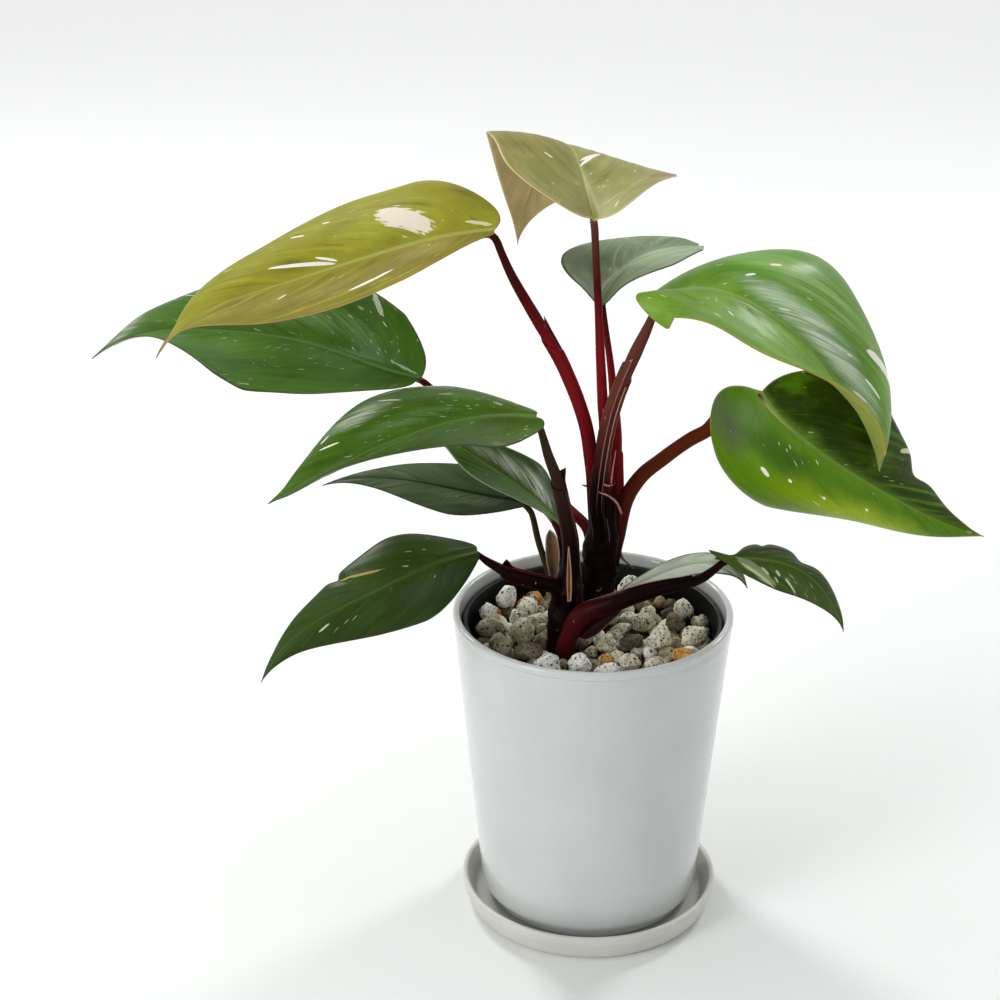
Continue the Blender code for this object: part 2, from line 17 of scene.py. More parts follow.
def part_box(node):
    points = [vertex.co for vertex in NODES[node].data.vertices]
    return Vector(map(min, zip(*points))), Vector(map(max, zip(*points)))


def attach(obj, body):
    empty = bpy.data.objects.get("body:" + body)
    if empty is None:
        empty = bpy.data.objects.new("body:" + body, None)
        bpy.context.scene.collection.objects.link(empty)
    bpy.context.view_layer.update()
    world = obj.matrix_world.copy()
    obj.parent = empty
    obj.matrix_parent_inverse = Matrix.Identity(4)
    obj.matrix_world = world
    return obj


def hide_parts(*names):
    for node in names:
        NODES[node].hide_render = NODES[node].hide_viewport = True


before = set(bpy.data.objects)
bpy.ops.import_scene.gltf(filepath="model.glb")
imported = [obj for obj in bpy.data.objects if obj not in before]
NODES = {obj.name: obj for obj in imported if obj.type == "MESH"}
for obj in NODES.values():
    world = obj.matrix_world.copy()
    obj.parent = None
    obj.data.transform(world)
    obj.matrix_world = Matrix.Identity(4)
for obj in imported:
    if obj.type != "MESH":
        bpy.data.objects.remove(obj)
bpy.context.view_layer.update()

MM = 0.001
WELD = 0.01 * MM


# ---- finishes: a small kit for node materials ---------------------------


class Reading:
    """An output of a material's node. Arithmetic on it adds Math nodes."""

    def __init__(self, finish, socket):
        self.finish = finish
        self.socket = socket

    def __add__(self, other):
        return self.finish.math("ADD", self, other)

    def __sub__(self, other):
        return self.finish.math("SUBTRACT", self, other)

    def __mul__(self, other):
        return self.finish.math("MULTIPLY", self, other)

    def __truediv__(self, other):
        return self.finish.math("DIVIDE", self, other)

    def __pow__(self, other):
        return self.finish.math("POWER", self, other)

    def __abs__(self):
        return self.finish.math("ABSOLUTE", self)

    def __lt__(self, other):
        return self.finish.math("LESS_THAN", self, other)

    def step(self, low, high, start=0.0, end=1.0):
        """Runs smoothly from start to end as the reading goes from low to high."""
        inputs = {"Value": self, "From Min": low, "From Max": high, "To Min": start, "To Max": end}
        return self.finish.read("MapRange", inputs, {"interpolation_type": "SMOOTHSTEP"})


class Finish:
    """A material in the making, with the colour that its layers have built up so far."""

    def __init__(self, name):
        self.material = bpy.data.materials.new(name)
        self.material.use_nodes = True
        self.tree = self.material.node_tree
        self.shader = self.tree.nodes["Principled BSDF"]
        self.colour = None

    def put(self, socket, value):
        if isinstance(value, Reading):
            self.tree.links.new(value.socket, socket)
        elif isinstance(value, tuple) and socket.type == "RGBA":
            socket.default_value = (*value, 1.0)
        else:
            socket.default_value = value

    def node(self, kind, inputs, settings=None):
        node = self.tree.nodes.new("ShaderNode" + kind)
        for key, value in (settings or {}).items():
            setattr(node, key, value)
        for key, value in inputs.items():
            self.put(node.inputs[key], value)
        return node

    def read(self, kind, inputs, settings=None, out=0):
        """Adds a node and gives back one of its outputs."""
        return Reading(self, self.node(kind, inputs, settings).outputs[out])

    def place(self):
        return self.read("TexCoord", {}, out="Object")

    def value(self, name):
        return self.read("Attribute", {}, {"attribute_name": name}, "Fac")

    def uv(self, name):
        return self.read("UVMap", {}, {"uv_map": name})

    def flat_place(self):
        """A blade's place when it is spread out, in mm along the midrib and to the left of it."""
        centred = self.vector("SUBTRACT", self.uv("flat"), (0, 0.5, 0))
        return self.vector("MULTIPLY", centred, (1000 / FLAT_SCALE,) * 3)

    def math(self, operation, *values, clamp=False):
        return self.read("Math", dict(enumerate(values)), {"operation": operation, "use_clamp": clamp})

    def vector(self, operation, *values, out=0):
        return self.read("VectorMath", dict(enumerate(values)), {"operation": operation}, out)

    def split(self, vector):
        return [Reading(self, part) for part in self.node("SeparateXYZ", {0: vector}).outputs]

    def join(self, x, y, z=0.0):
        return self.read("CombineXYZ", {0: x, 1: y, 2: z})

    def mix(self, share, a, b):
        return self.read("Mix", {0: share, 6: a, 7: b}, {"data_type": "RGBA"}, 2)

    def noise(self, place, scale, detail=2.0, roughness=0.5):
        inputs = {"Vector": place, "Scale": scale, "Detail": detail, "Roughness": roughness}
        return self.read("TexNoise", inputs)

    def cells(self, place, scale, flat=False):
        """Distance to the nearest of many scattered points, and three random values of that point."""
        settings = {"voronoi_dimensions": "2D" if flat else "3D"}
        distance, pick = self.node("TexVoronoi", {"Vector": place, "Scale": scale}, settings).outputs[:2]
        return Reading(self, distance), self.split(Reading(self, pick))

    def pores(self, place, scale, edge, middle, share, by=0):
        """Small round spots at a share of the scattered points."""
        distance, pick = self.cells(place, scale)
        return distance.step(edge, middle) * (pick[by] < share)

    def ramp(self, value, *stops):
        node = self.node("ValToRGB", {0: value})
        elements = node.color_ramp.elements
        while len(elements) < len(stops):
            elements.new(0.5)
        for element, (position, colour) in zip(elements, stops):
            element.position = position
            element.color = (*colour, 1.0)
        return Reading(self, node.outputs[0])

    def paint(self, share, colour):
        """Lays a colour over what is there."""
        self.colour = self.mix(share, self.colour, colour)

    def dress(self, **sockets):
        """Sets the shader's sockets, and gives back the material."""
        for key, value in sockets.items():
            self.put(self.shader.inputs[key.replace("_", " ")], value)
        return self.material

    def seal(self, height, depth, strength, **sockets):
        """Finishes the material with its colour and relief."""
        bump = self.read("Bump", {"Height": height, "Distance": depth, "Strength": strength})
        return self.dress(Base_Color=self.colour, Normal=bump, **sockets)


def shade(colour, factor, lift=0.0):
    """A darker or lighter tone of a colour."""
    return tuple(min(c * factor + lift, 1) for c in colour)


def blend(share, a, other_share, b):
    return tuple(share * x + other_share * y for x, y in zip(a, b))


# ---- shared shapes ------------------------------------------------------


def metres(value):
    """Millimetres, one number or a nest of them, in metres."""
    return tuple(metres(v) for v in value) if isinstance(value, tuple) else value / 1000


def along(values, u):
    """A smooth run (Catmull-Rom) through evenly spaced values, read at u from 0 to 1."""
    spans = len(values) - 1
    place = min(max(u, 0.0), 1.0) * spans
    i = min(int(place), spans - 1)
    f = place - i
    b, c = values[i], values[i + 1]
    a = values[i - 1] if i else 2 * b - c
    d = values[i + 2] if i + 2 <= spans else 2 * c - b
    return b + 0.5 * f * (c - a + f * (2 * a - 5 * b + 4 * c - d + f * (3 * (b - c) + d - a)))


def ease(value, low, high):
    """0 at low, 1 at high, level beyond them, and smooth between."""
    x = min(max((value - low) / (high - low), 0.0), 1.0)
    return x * x * (3 - 2 * x)


def hump(value, middle, width):
    return math.exp(-(((value - middle) / width) ** 2))


def length_of(points):
    return sum((b - a).length for a, b in zip(points, points[1:]))


def even_route(points, spacing):
    """A smooth curve through the points, read at even steps of about the spacing."""
    points = [Vector(p) for p in points]
    fine_steps = 600
    fine = [along(points, i / fine_steps) for i in range(fine_steps + 1)]
    lengths = [0.0]
    for a, b in zip(fine, fine[1:]):
        lengths.append(lengths[-1] + (b - a).length)
    count = max(int(lengths[-1] / spacing), 2)
    route, i = [], 0
    for k in range(count + 1):
        goal = lengths[-1] * k / count
        while i < fine_steps - 1 and lengths[i + 1] < goal:
            i += 1
        share = (goal - lengths[i]) / max(lengths[i + 1] - lengths[i], 1e-9)
        route.append(fine[i].lerp(fine[i + 1], min(share, 1.0)))
    return route


def carried_frames(route, facing):
    """(point, face, across) at each point of a route. The face side looks along facing."""
    frames = []
    for i, point in enumerate(route):
        ahead = (route[min(i + 1, len(route) - 1)] - route[max(i - 1, 0)]).normalized()
        face = Vector(facing)
        face = (face - ahead * face.dot(ahead)).normalized()
        frames.append((point, face, ahead.cross(face)))
    return frames


def place_object(name, bm):
    mesh = bpy.data.meshes.new(name)
    bm.to_mesh(mesh)
    bm.free()
    placed = bpy.data.objects.new(name, mesh)
    bpy.context.scene.collection.objects.link(placed)
    return placed


def add_piece(name, bm, finishes, slot, sharp=0):
    """Makes the bmesh a piece that rides on the pot. It replaces the CAD node of its own name."""
    piece = place_object(name, bm)
    piece.data.shade_smooth()
    if sharp:
        piece.data.set_sharp_from_angle(angle=math.radians(sharp))
    for finish in finishes:
        piece.data.materials.append(finish)
    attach(piece, "root")
    if name in NODES:
        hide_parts(name)
    return piece


def thicken(piece, thickness):
    shell = piece.modifiers.new("Thickness", "SOLIDIFY")
    shell.thickness = thickness
    shell.offset = 0
    return shell


def rounded_outline(corners, steps=6):
    """Points of a turned outline. Each corner is (radius, height, rounding), and the ends stay sharp."""
    points = []
    for i, (x, z, rounding) in enumerate(corners):
        here = Vector((x, 0, z))
        if not rounding or i in (0, len(corners) - 1):
            points.append(here)
            continue
        before = Vector((corners[i - 1][0], 0, corners[i - 1][1])) - here
        after = Vector((corners[i + 1][0], 0, corners[i + 1][1])) - here
        half = before.angle(after) / 2
        cut = min(rounding / math.tan(half), 0.48 * before.length, 0.48 * after.length)
        start, end = here + before.normalized() * cut, here + after.normalized() * cut
        inward = (before.normalized() + after.normalized()).normalized()
        centre = here + inward * (cut / math.cos(half))
        first, last = (start - centre).normalized(), (end - centre).normalized()
        radius = (start - centre).length
        points += [centre + first.slerp(last, k / steps) * radius for k in range(steps + 1)]
    return points


def spun(outline, steps):
    """A bmesh of an outline spun round Z."""
    bm = bmesh.new()
    verts = [bm.verts.new(p) for p in outline]
    for a, b in zip(verts, verts[1:]):
        bm.edges.new((a, b))
    bmesh.ops.spin(bm, geom=bm.verts[:] + bm.edges[:], cent=(0, 0, 0), axis=(0, 0, 1), angle=math.tau,
                   steps=steps, use_merge=True)
    bmesh.ops.remove_doubles(bm, verts=bm.verts, dist=1e-6)
    bmesh.ops.recalc_face_normals(bm, faces=bm.faces)
    return bm


def add_turned(name, corners, finish, slot, steps):
    """A round piece from an outline in mm."""
    return add_piece(name, spun(rounded_outline(metres(corners)), steps), [finish], slot, sharp=40)


# ---- the leaves' shapes -------------------------------------------------


@dataclass
class Leaf:
    """One blade. Lists of angles run in even steps from the base to the tip.

    heading turns round +Z from +X, pitch is above level, and roll lifts the left side.
    fold and curl are (left, right): the angle at which each half leaves the midrib, and
    how far it then bends on its way to the margin. Where the halves are alike, fold, curl,
    lobe and back are given once.
    """

    base: tuple  # in mm, as are length, half_width and veins
    length: float
    half_width: float
    heading: tuple
    pitch: tuple
    fold: tuple
    curl: tuple
    roll: tuple = (0, 0)
    lobe: tuple = 0.3  # share of the half width at the base
    back: tuple = 115  # angle of the veins at the base, from the midrib's direction
    full: float = 1.5  # how late the blade narrows towards its tip
    widest: float = 0.3  # share of the length at which it is widest
    shares: tuple = (1, 1)  # width of each half, as a share of half_width
    swell: tuple = (3, 3)  # mm by which the lobes (left, right) stand back behind the stalk
    corner: tuple = (0.11, 0.11)  # length of the rounding at the base, as a share of the blade
    droop: tuple = (0, 0)  # mm by which those lobes hang
    flare: tuple = (0, 0)  # extra width of the lobes, as a share
    ear: tuple = (0, 0)  # mm by which the outer corners of the lobes hang
    nicks: tuple = ()  # (share of the length, side, depth, width) of tears in the margin
    wave: float = 1.0  # how much the blade undulates
    quilt: float = 1.0  # how much it swells between its side veins
    veins: float = 13  # spacing of the side veins
    blunt: float = 0.0  # share of the half width left at the tip
    seed: int = 0

    def __post_init__(self):
        self.base, self.length, self.half_width, self.veins = metres(
            (self.base, self.length, self.half_width, self.veins))
        for key in ("lobe", "back"):
            if not isinstance(getattr(self, key), tuple):
                setattr(self, key, (getattr(self, key),) * 2)
        for key in ("fold", "curl"):
            if not isinstance(getattr(self, key)[0], tuple):
                setattr(self, key, (getattr(self, key),) * 2)


@dataclass
class Look:
    """Colours of a leaf, and its pale marks in flat millimetres: along the midrib, and out to the left."""

    left: tuple
    right: tuple
    rim: tuple
    rib: tuple
    under: tuple
    slot: str = "blade_green"
    flecks: float = 0.1
    sheen: float = 0.02
    gloss: float = 0.06
    rib_width: float = 1.5
    zone: tuple = ()  # (from, to, tint) of a band along the blade, in mm to the left
    marks: tuple = ()  # (start, end, half width, raggedness, tint), white without a tint
    sheen_shade_and_tint_washes: tuple = ()  # soft patches of painted sheen highlights and painted shade, with some tints of the leaf's own: (middle, reach, tint, share, how much the veins streak it)


WHITE = (0.86, 0.84, 0.76)
BLUSH = (0.79, 0.70, 0.58)
CREAM = (0.62, 0.64, 0.36)

LEAVES = {
    "upper_left": Leaf(
        (-46, 5, 335), 165, 48, heading=(178, 174, 177, 186, 187), pitch=(-5, -18, -19, -20, -58),
        roll=(-30, -47, -42, -12), fold=((28, 16, 12), (10, 5, -3)), curl=((25, 42, 20), (-60, -70, -40)),
        lobe=0.22, back=102, full=2.3, widest=0.2, shares=(1.0, 1.18), swell=(0, 2), corner=(0.11, 0.09),
        flare=(0, 0.2), nicks=((0.22, -1, 0.09, 0.15),), wave=0.6, quilt=0.3, seed=1,
    ),
    "crown": Leaf(
        (-2, 5, 340), 165, 44, heading=(98, 97, 115, 149), pitch=(14, 8, -42, -86), roll=(-2, 18, 16),
        fold=((30, 8, 11), (35, 4, 4)), curl=((9, -36, -24), (9, -47, -26)), lobe=(0.55, 0.7),
        back=(124, 121), full=1.6, swell=(0, 2), nicks=((0.29, 1, 0.11, 0.09),), wave=0.6, quilt=0.5,
        seed=2,
    ),
    "back": Leaf(
        (4, 50, 286), 104, 29, heading=(81, 61, 55, 49), pitch=(7, 9, -8, -15), roll=(0, 0, 6),
        fold=((42, 16, 20), (41, 16, 15)), curl=((0, -27, -5), (6, -19, -5)), lobe=0.38, back=130,
        full=2.1, widest=0.31, quilt=0.8, veins=10, blunt=0.1, seed=3,
    ),
    "upper_right": Leaf(
        (26, -5, 308), 143, 52, heading=(366, 350, 362, 358, 336), pitch=(22, -20, -45, -56, -78),
        roll=(14, 42, 42, 13), fold=((-8, 20, 15), (3, 27, 20)), curl=((-55, -70, -33), (22, 42, 6)),
        lobe=(0.2, 0.42), back=(106, 101), full=2.0, widest=0.36, shares=(1.15, 0.98), swell=(0, 8),
        corner=(0.14, 0.02), droop=(0, -11), ear=(0, 11), quilt=0.6, seed=4,
    ),
    "right": Leaf(
        (73, 1, 261), 130, 49, heading=(318, 350, 366, 372, 366), pitch=(-46, -36, -33, -30, -18),
        roll=(48, 68, 72, 52), fold=((6, -1, -1), (-5, -15, -8)), curl=((-22, -48, -35), (-58, -72, -50)),
        lobe=(0.32, 0.72), back=(104, 112), full=1.25, widest=0.27, shares=(0.92, 0.98), swell=(0, 7),
        corner=(0.08, 0.14), droop=(0, 6), nicks=((0.6, 1, 0.22, 0.05),), quilt=0.8, seed=5,
    ),
    "lower_right": Leaf(
        (58, -19, 189), 71, 16, heading=(366, 358, 344, 338), pitch=(-2, -12, -46, -73),
        roll=(10, 20, 20), fold=((8, 0, 10), (16, 0, 10)), curl=((-16, -36, -15), (-9, -30, -10)),
        lobe=(0.1, 0.35), back=(108, 120), widest=0.33, shares=(1.06, 1.0), swell=(4, 7), droop=(0, -6),
        nicks=((0.07, 1, 0.55, 0.055), (0.24, 1, 0.14, 0.02), (0.45, 1, 0.38, 0.055)), veins=8, seed=6,
    ),
    "lower_left": Leaf(
        (-53, -30, 198), 123, 26, heading=(232, 216, 197, 208), pitch=(13, -8, -25, -60),
        roll=(-45, -40, -20), fold=((-10, -8, 4), (-3, -2, 7)), curl=(-40, -45, -20), lobe=0.2, back=105,
        full=1.6, widest=0.28, shares=(0.92, 0.95), swell=(0, 0), nicks=((0.5, -1, 0.14, 0.02),),
        quilt=0.5, veins=11, seed=7,
    ),
    "middle_left": Leaf(
        (-27, -20, 258), 127, 43, heading=(178, 199, 184, 180), pitch=(5, -8, -26, -31),
        roll=(-12, -23, -22), fold=((4, 22, 14), (-2, 20, 11)), curl=((10, 28, 4), (-50, -52, -25)),
        lobe=(0.34, 0.22), back=(98, 90), full=1.7, widest=0.19, shares=(1.0, 1.06), swell=(3, 0),
        corner=(0.09, 0.09), quilt=0.5, seed=8,
    ),
    "far_left": Leaf(
        (-31, 30, 195), 98, 16.5, heading=(169, 170, 172, 177), pitch=(2, 9, 1, -19),
        roll=(-18, -28, -21), fold=((16, 4, 10), (15, 5, 10)), curl=((-3, -14, -10), (-11, -20, -11)),
        back=105, full=1.35, swell=(2, 2), wave=0.6, quilt=0.6, veins=9, seed=9,
    ),
    "inner_left": Leaf(
        (-16, 15, 191), 90, 23, heading=(160, 145, 154, 159), pitch=(47, 20, 25, 14), roll=(20, 2, 8),
        fold=((15, 9, 10), (15, 17, 11)), curl=((-9, -9, -9), (-11, -10, -10)), back=100, full=1.2,
        widest=0.26, swell=(2, 2), wave=0.6, veins=9, seed=10,
    ),
    "outer_left": Leaf(
        (-80, 45, 251), 168, 44, heading=(142, 160, 194, 211, 205), pitch=(-4, 13, 12, 8, -30),
        roll=(-46, -44, -34, -4), fold=((34, 6, 25), (40, 6, 11)), curl=((40, 30, 17), (15, -27, -27)),
        lobe=0.45, back=96, full=1.45, widest=0.38, shares=(1.16, 0.88), swell=(0, 3),
        corner=(0.11, 0.07), flare=(0, 0.45), quilt=0.5, seed=11,
    ),
    "small": Leaf(
        (13.5, -6.6, 167.2), 63.5, 8.6, heading=(366, 362, 358, 345, 322), pitch=(24, 24, 14, -12, -60),
        roll=(26, 34, 30, 20, 0), fold=((10, 10, 8), (11, 11, 8)), curl=(-5, -10, -5), lobe=0.12,
        full=1.6, widest=0.66, shares=(0.75, 1.0), swell=(1, 1), wave=0.3, veins=6, seed=12,
    ),
}

# Their washes paint sheen highlights and shade onto the blades, besides a few tints of the leaves' own.
LOOKS = {
    "upper_left": Look(
        left=(0.2, 0.172, 0.016), right=(0.255, 0.25, 0.024), rim=(0.3, 0.17, 0.06),
        rib=(0.42, 0.42, 0.1), under=(0.46, 0.4, 0.18), slot="blade_bronze", flecks=0.05, sheen=0.0,
        gloss=0.02, rib_width=1.6,
        marks=(
            ((30, -8), (42, -20), 5.4, 0.9, BLUSH), ((72, -2), (95, -12), 1.3, 0.3),
            ((70, -3), (76, -8), 0.8, 0.4), ((42, 17), (57, 23), 1.3, 0.3),
            ((74, -26), (78, -29), 0.6, 0.2), ((63, -29), (65, -30), 0.5, 0.2),
            ((91, 10), (93, 12), 0.6, 0.2), ((3, -3), (12, -6), 1.0, 0.9, CREAM),
        ),
        sheen_shade_and_tint_washes=(
            ((45, -15), (38, 12), (0.38, 0.42, 0.07), 0.6, 1.0),
            ((26, 8), (26, 9), (0.36, 0.3, 0.09), 0.5, 0.8),
            ((85, 2), (30, 12), (0.34, 0.33, 0.05), 0.5, 1.0),
            ((88, -8), (26, 8), (0.2, 0.14, 0.015), 0.45, 0.8),
        ),
    ),
    "crown": Look(
        left=(0.23, 0.21, 0.05), right=(0.25, 0.24, 0.07), rim=(0.58, 0.46, 0.24), rib=(0.36, 0.38, 0.12),
        under=(0.44, 0.33, 0.15), slot="blade_bronze", flecks=0.04, sheen=0.04, rib_width=1.4,
        marks=(
            ((47, -1), (58, -9), 1.0, 0.5), ((52, -2), (60, -12), 1.4, 0.6),
            ((45, 14), (48, 17), 0.5, 0.1), ((5, -12), (8, -14), 0.5, 0.5, CREAM),
            ((8, -4), (17, -18), 0.35, 0.3, (0.42, 0.42, 0.17)),
            ((17, -18), (30, -31), 0.3, 0.3, (0.42, 0.42, 0.17)),
            ((28, -32), (35, -43), 4.4, 0.6, (0.29, 0.17, 0.07)),
        ),
        sheen_shade_and_tint_washes=(
            ((112, 14), (30, 18), (0.36, 0.25, 0.09), 0.65, 0.3),
            ((34, -42), (18, 12), (0.27, 0.15, 0.09), 1.0, 0.2),
            ((70, -8), (36, 12), (0.3, 0.32, 0.11), 0.6, 0.9),
            ((30, 14), (26, 14), (0.22, 0.24, 0.035), 0.5, 0.6),
        ),
    ),
    "back": Look(
        left=(0.15, 0.21, 0.11), right=(0.25, 0.34, 0.19), rim=(0.05, 0.07, 0.04), rib=(0.36, 0.44, 0.26),
        under=(0.22, 0.26, 0.16), flecks=0.04, sheen=0.06,
        sheen_shade_and_tint_washes=(
            ((20, 14), (18, 12), (0.1, 0.14, 0.08), 0.5, 0.5),
            ((62, -4), (30, 7), (0.42, 0.52, 0.36), 0.5, 1.0),
        ),
    ),
    "upper_right": Look(
        left=(0.115, 0.265, 0.022), right=(0.15, 0.29, 0.026), rim=(0.3, 0.3, 0.06),
        rib=(0.26, 0.42, 0.1), under=(0.24, 0.27, 0.05), slot="blade_bright", flecks=0.14, sheen=0.22,
        rib_width=1.8,
        marks=(
            ((85, 30), (97, 46), 3.2, 0.3), ((96, 15), (104, 18), 1.0, 0.2),
            ((102, 4), (107, 7), 0.8, 0.2), ((125, 11), (131, 10), 0.8, 0.2),
            ((34, 13), (36, 15), 0.6, 0.2), ((39, 25), (41, 27), 0.7, 0.2), ((52, 5), (55, 7), 0.5, 0.4),
            ((31, -13), (33, -15), 0.5, 0.2), ((83, 14), (84, 15), 0.5, 0.2),
        ),
        sheen_shade_and_tint_washes=(
            ((74, 9), (54, 11), (0.72, 0.82, 0.68), 1.0, 0.6),
            ((52, 28), (36, 15), (0.36, 0.52, 0.22), 0.7, 0.9),
            ((112, 4), (26, 8), (0.54, 0.66, 0.48), 0.9, 0.8),
            ((22, -12), (26, 10), (0.17, 0.3, 0.02), 0.6, 0.4),
            ((88, 36), (30, 8), (0.3, 0.4, 0.1), 0.5, 0.6),
        ),
    ),
    # The left half's dark colour and the dark wash on it are painted shade, as that half lies in shadow; the
    # grey-green wash on the right lobe is a painted sheen.
    "right": Look(
        left=(0.026, 0.052, 0.002), right=(0.094, 0.205, 0.004), rim=(0.34, 0.3, 0.12),
        rib=(0.13, 0.24, 0.03), under=(0.34, 0.34, 0.14), slot="blade_bright", flecks=0.06, sheen=0.14,
        zone=(-19, -4, (0.055, 0.15, 0.003)),
        marks=(
            ((25, -23), (27, -24), 1.1, 0.3), ((34, -19), (34.6, -19.4), 0.6, 0.1),
            ((49, -18), (49.5, -18.4), 0.6, 0.1), ((68, -13), (68.5, -13.4), 0.6, 0.1),
            ((64, 26), (69, 34), 1.6, 0.5, CREAM),
        ),
        sheen_shade_and_tint_washes=(
            ((7, -22), (17, 15), (0.075, 0.105, 0.05), 1.0, 0.3),
            ((26, -12), (20, 13), (0.024, 0.075, 0.002), 0.85, 0.3),
            ((70, -24), (60, 22), (0.31, 0.42, 0.006), 1.0, 0.3),
            ((30, 12), (26, 12), (0.01, 0.03, 0.001), 0.9, 0.3),
            ((56, 14), (26, 9), (0.1, 0.15, 0.02), 0.45, 0.8),
        ),
    ),
    "lower_right": Look(
        left=(0.04, 0.075, 0.012), right=(0.055, 0.095, 0.014), rim=(0.03, 0.03, 0.02),
        rib=(0.13, 0.19, 0.05), under=(0.16, 0.2, 0.1), slot="blade_dark", flecks=0.12, sheen=0.16,
        marks=(
            ((9, -3), (20, -13), 2.5, 0.8, (0.27, 0.36, 0.18)),
            ((10, -6), (21, -15), 0.8, 0.9, (0.62, 0.66, 0.42)),
            ((17, -6), (19, -9), 0.7, 0.6, (0.66, 0.7, 0.5)),
            ((23, -6), (24, -8), 0.6, 0.5, (0.66, 0.7, 0.5)),
            ((22, -10), (23, -12), 0.4, 0.4, (0.66, 0.7, 0.5)),
            ((27, -9), (31, -13), 0.6, 0.6, (0.72, 0.76, 0.58)),
        ),
        sheen_shade_and_tint_washes=(
            ((28, 5), (22, 7), (0.16, 0.22, 0.12), 0.45, 0.9),
            ((26, -8), (24, 8), (0.1, 0.16, 0.06), 0.6, 0.7),
        ),
    ),
    "lower_left": Look(
        left=(0.024, 0.052, 0.006), right=(0.028, 0.058, 0.006), rim=(0.02, 0.03, 0.01),
        rib=(0.06, 0.1, 0.02), under=(0.12, 0.15, 0.08), slot="blade_dark", flecks=0.05, sheen=0.12,
        marks=(
            ((48, -8), (60, -15), 0.9, 2.4, (0.44, 0.34, 0.1)),
            ((80, 5), (84, 6), 0.55, 0.8, (0.5, 0.58, 0.42)),
        ),
        sheen_shade_and_tint_washes=(
            ((30, 8), (24, 9), (0.07, 0.1, 0.05), 0.5, 0.7),
            ((90, -4), (26, 12), (0.045, 0.085, 0.008), 0.5, 0.5),
        ),
    ),
    "middle_left": Look(
        left=(0.048, 0.114, 0.004), right=(0.05, 0.122, 0.004), rim=(0.03, 0.04, 0.02),
        rib=(0.13, 0.23, 0.05), under=(0.15, 0.2, 0.1), flecks=0.24, sheen=0.16,
        marks=(
            ((85, -17), (79, -14), 0.7, 0.5), ((81, -22), (76, -24), 0.6, 0.5),
            ((49, -30), (44, -23), 0.5, 0.6), ((66, -34), (63, -33), 0.4, 0.4),
        ),
        sheen_shade_and_tint_washes=(
            ((62, -25), (20, 10), (0.52, 0.62, 0.46), 1.0, 1.0),
            ((50, -9), (32, 7), (0.2, 0.32, 0.13), 0.6, 0.8),
            ((16, 4), (18, 14), (0.024, 0.062, 0.002), 0.6, 0.4),
        ),
    ),
    "far_left": Look(
        left=(0.052, 0.082, 0.034), right=(0.068, 0.102, 0.048), rim=(0.02, 0.03, 0.02),
        rib=(0.014, 0.026, 0.01), under=(0.12, 0.14, 0.09), slot="blade_dark", flecks=0.03, sheen=0.12,
        sheen_shade_and_tint_washes=(
            ((26, 4), (24, 7), (0.22, 0.27, 0.19), 0.6, 0.9),
            ((60, 5), (26, 6), (0.15, 0.2, 0.12), 0.5, 0.9),
        ),
    ),
    "inner_left": Look(
        left=(0.04, 0.115, 0.005), right=(0.03, 0.07, 0.008), rim=(0.25, 0.3, 0.16),
        rib=(0.2, 0.28, 0.07), under=(0.14, 0.18, 0.09), flecks=0.16, sheen=0.12,
        sheen_shade_and_tint_washes=(
            ((27, -9), (24, 10), (0.62, 0.68, 0.57), 1.0, 1.0),
            ((12, -7), (16, 9), (0.5, 0.56, 0.45), 0.9, 1.0),
            ((54, -7), (24, 8), (0.46, 0.54, 0.4), 0.8, 1.0),
            ((62, 5), (24, 5), (0.06, 0.15, 0.01), 0.8, 0.4),
        ),
    ),
    "outer_left": Look(
        left=(0.062, 0.165, 0.012), right=(0.06, 0.145, 0.012), rim=(0.04, 0.06, 0.03),
        rib=(0.13, 0.24, 0.06), under=(0.3, 0.34, 0.2), flecks=0.26, sheen=0.3,
        marks=(
            ((26, -25), (31, -31), 1.7, 0.7, (0.62, 0.7, 0.54)),
            ((3, -2), (19, -5), 0.6, 1.4, (0.4, 0.5, 0.34)),
        ),
        sheen_shade_and_tint_washes=(
            ((14, 6), (22, 16), (0.028, 0.075, 0.008), 0.6, 0.4),
            ((52, -14), (44, 10), (0.22, 0.34, 0.15), 0.7, 0.9),
            ((85, 12), (36, 12), (0.11, 0.26, 0.03), 0.7, 0.6),
        ),
    ),
    # Its pale grey-green colours and pale rib are a painted sheen; the first wash darkens the tip to the
    # leaf's own dark green.
    "small": Look(
        left=(0.44, 0.48, 0.39), right=(0.5, 0.54, 0.46), rim=(0.05, 0.06, 0.04), rib=(0.36, 0.41, 0.32),
        under=(0.12, 0.14, 0.09), slot="blade_dark", flecks=0.06, sheen=0.15,
        sheen_shade_and_tint_washes=(
            ((61, 0), (28, 26), (0.045, 0.08, 0.014), 1.0, 0.0),
            ((30, 5), (18, 4), (0.24, 0.29, 0.19), 0.6, 0.6),
        ),
    ),
}

MIDRIB_STEPS = 60
TIP_VEIN_ANGLE = 38
FLAT_SCALE = 5.0  # of the flat map, per metre
BLADE_GRID = (44, 132, 0.55 * MM)  # columns, rows and thickness
SCALE_GRID = (18, 40, 0.40 * MM)


def midrib_frames(leaf):
    """The midrib in even steps: (point, direction, left, up) at each."""
    frames, point, last = [], Vector(leaf.base), None
    for i in range(MIDRIB_STEPS + 1):
        u = i / MIDRIB_STEPS
        heading, pitch, roll = (math.radians(along(a, u)) for a in (leaf.heading, leaf.pitch, leaf.roll))
        run = math.cos(pitch)
        ahead = Vector((math.cos(heading) * run, math.sin(heading) * run, math.sin(pitch)))
        level = Vector((-math.sin(heading), math.cos(heading), 0))
        upward = ahead.cross(level)
        left = level * math.cos(roll) + upward * math.sin(roll)
        up = upward * math.cos(roll) - level * math.sin(roll)
        if last:
            point = point + (ahead + last) * (leaf.length / MIDRIB_STEPS / 2)
        frames.append((point, ahead, left, up))
        last = ahead
    return frames


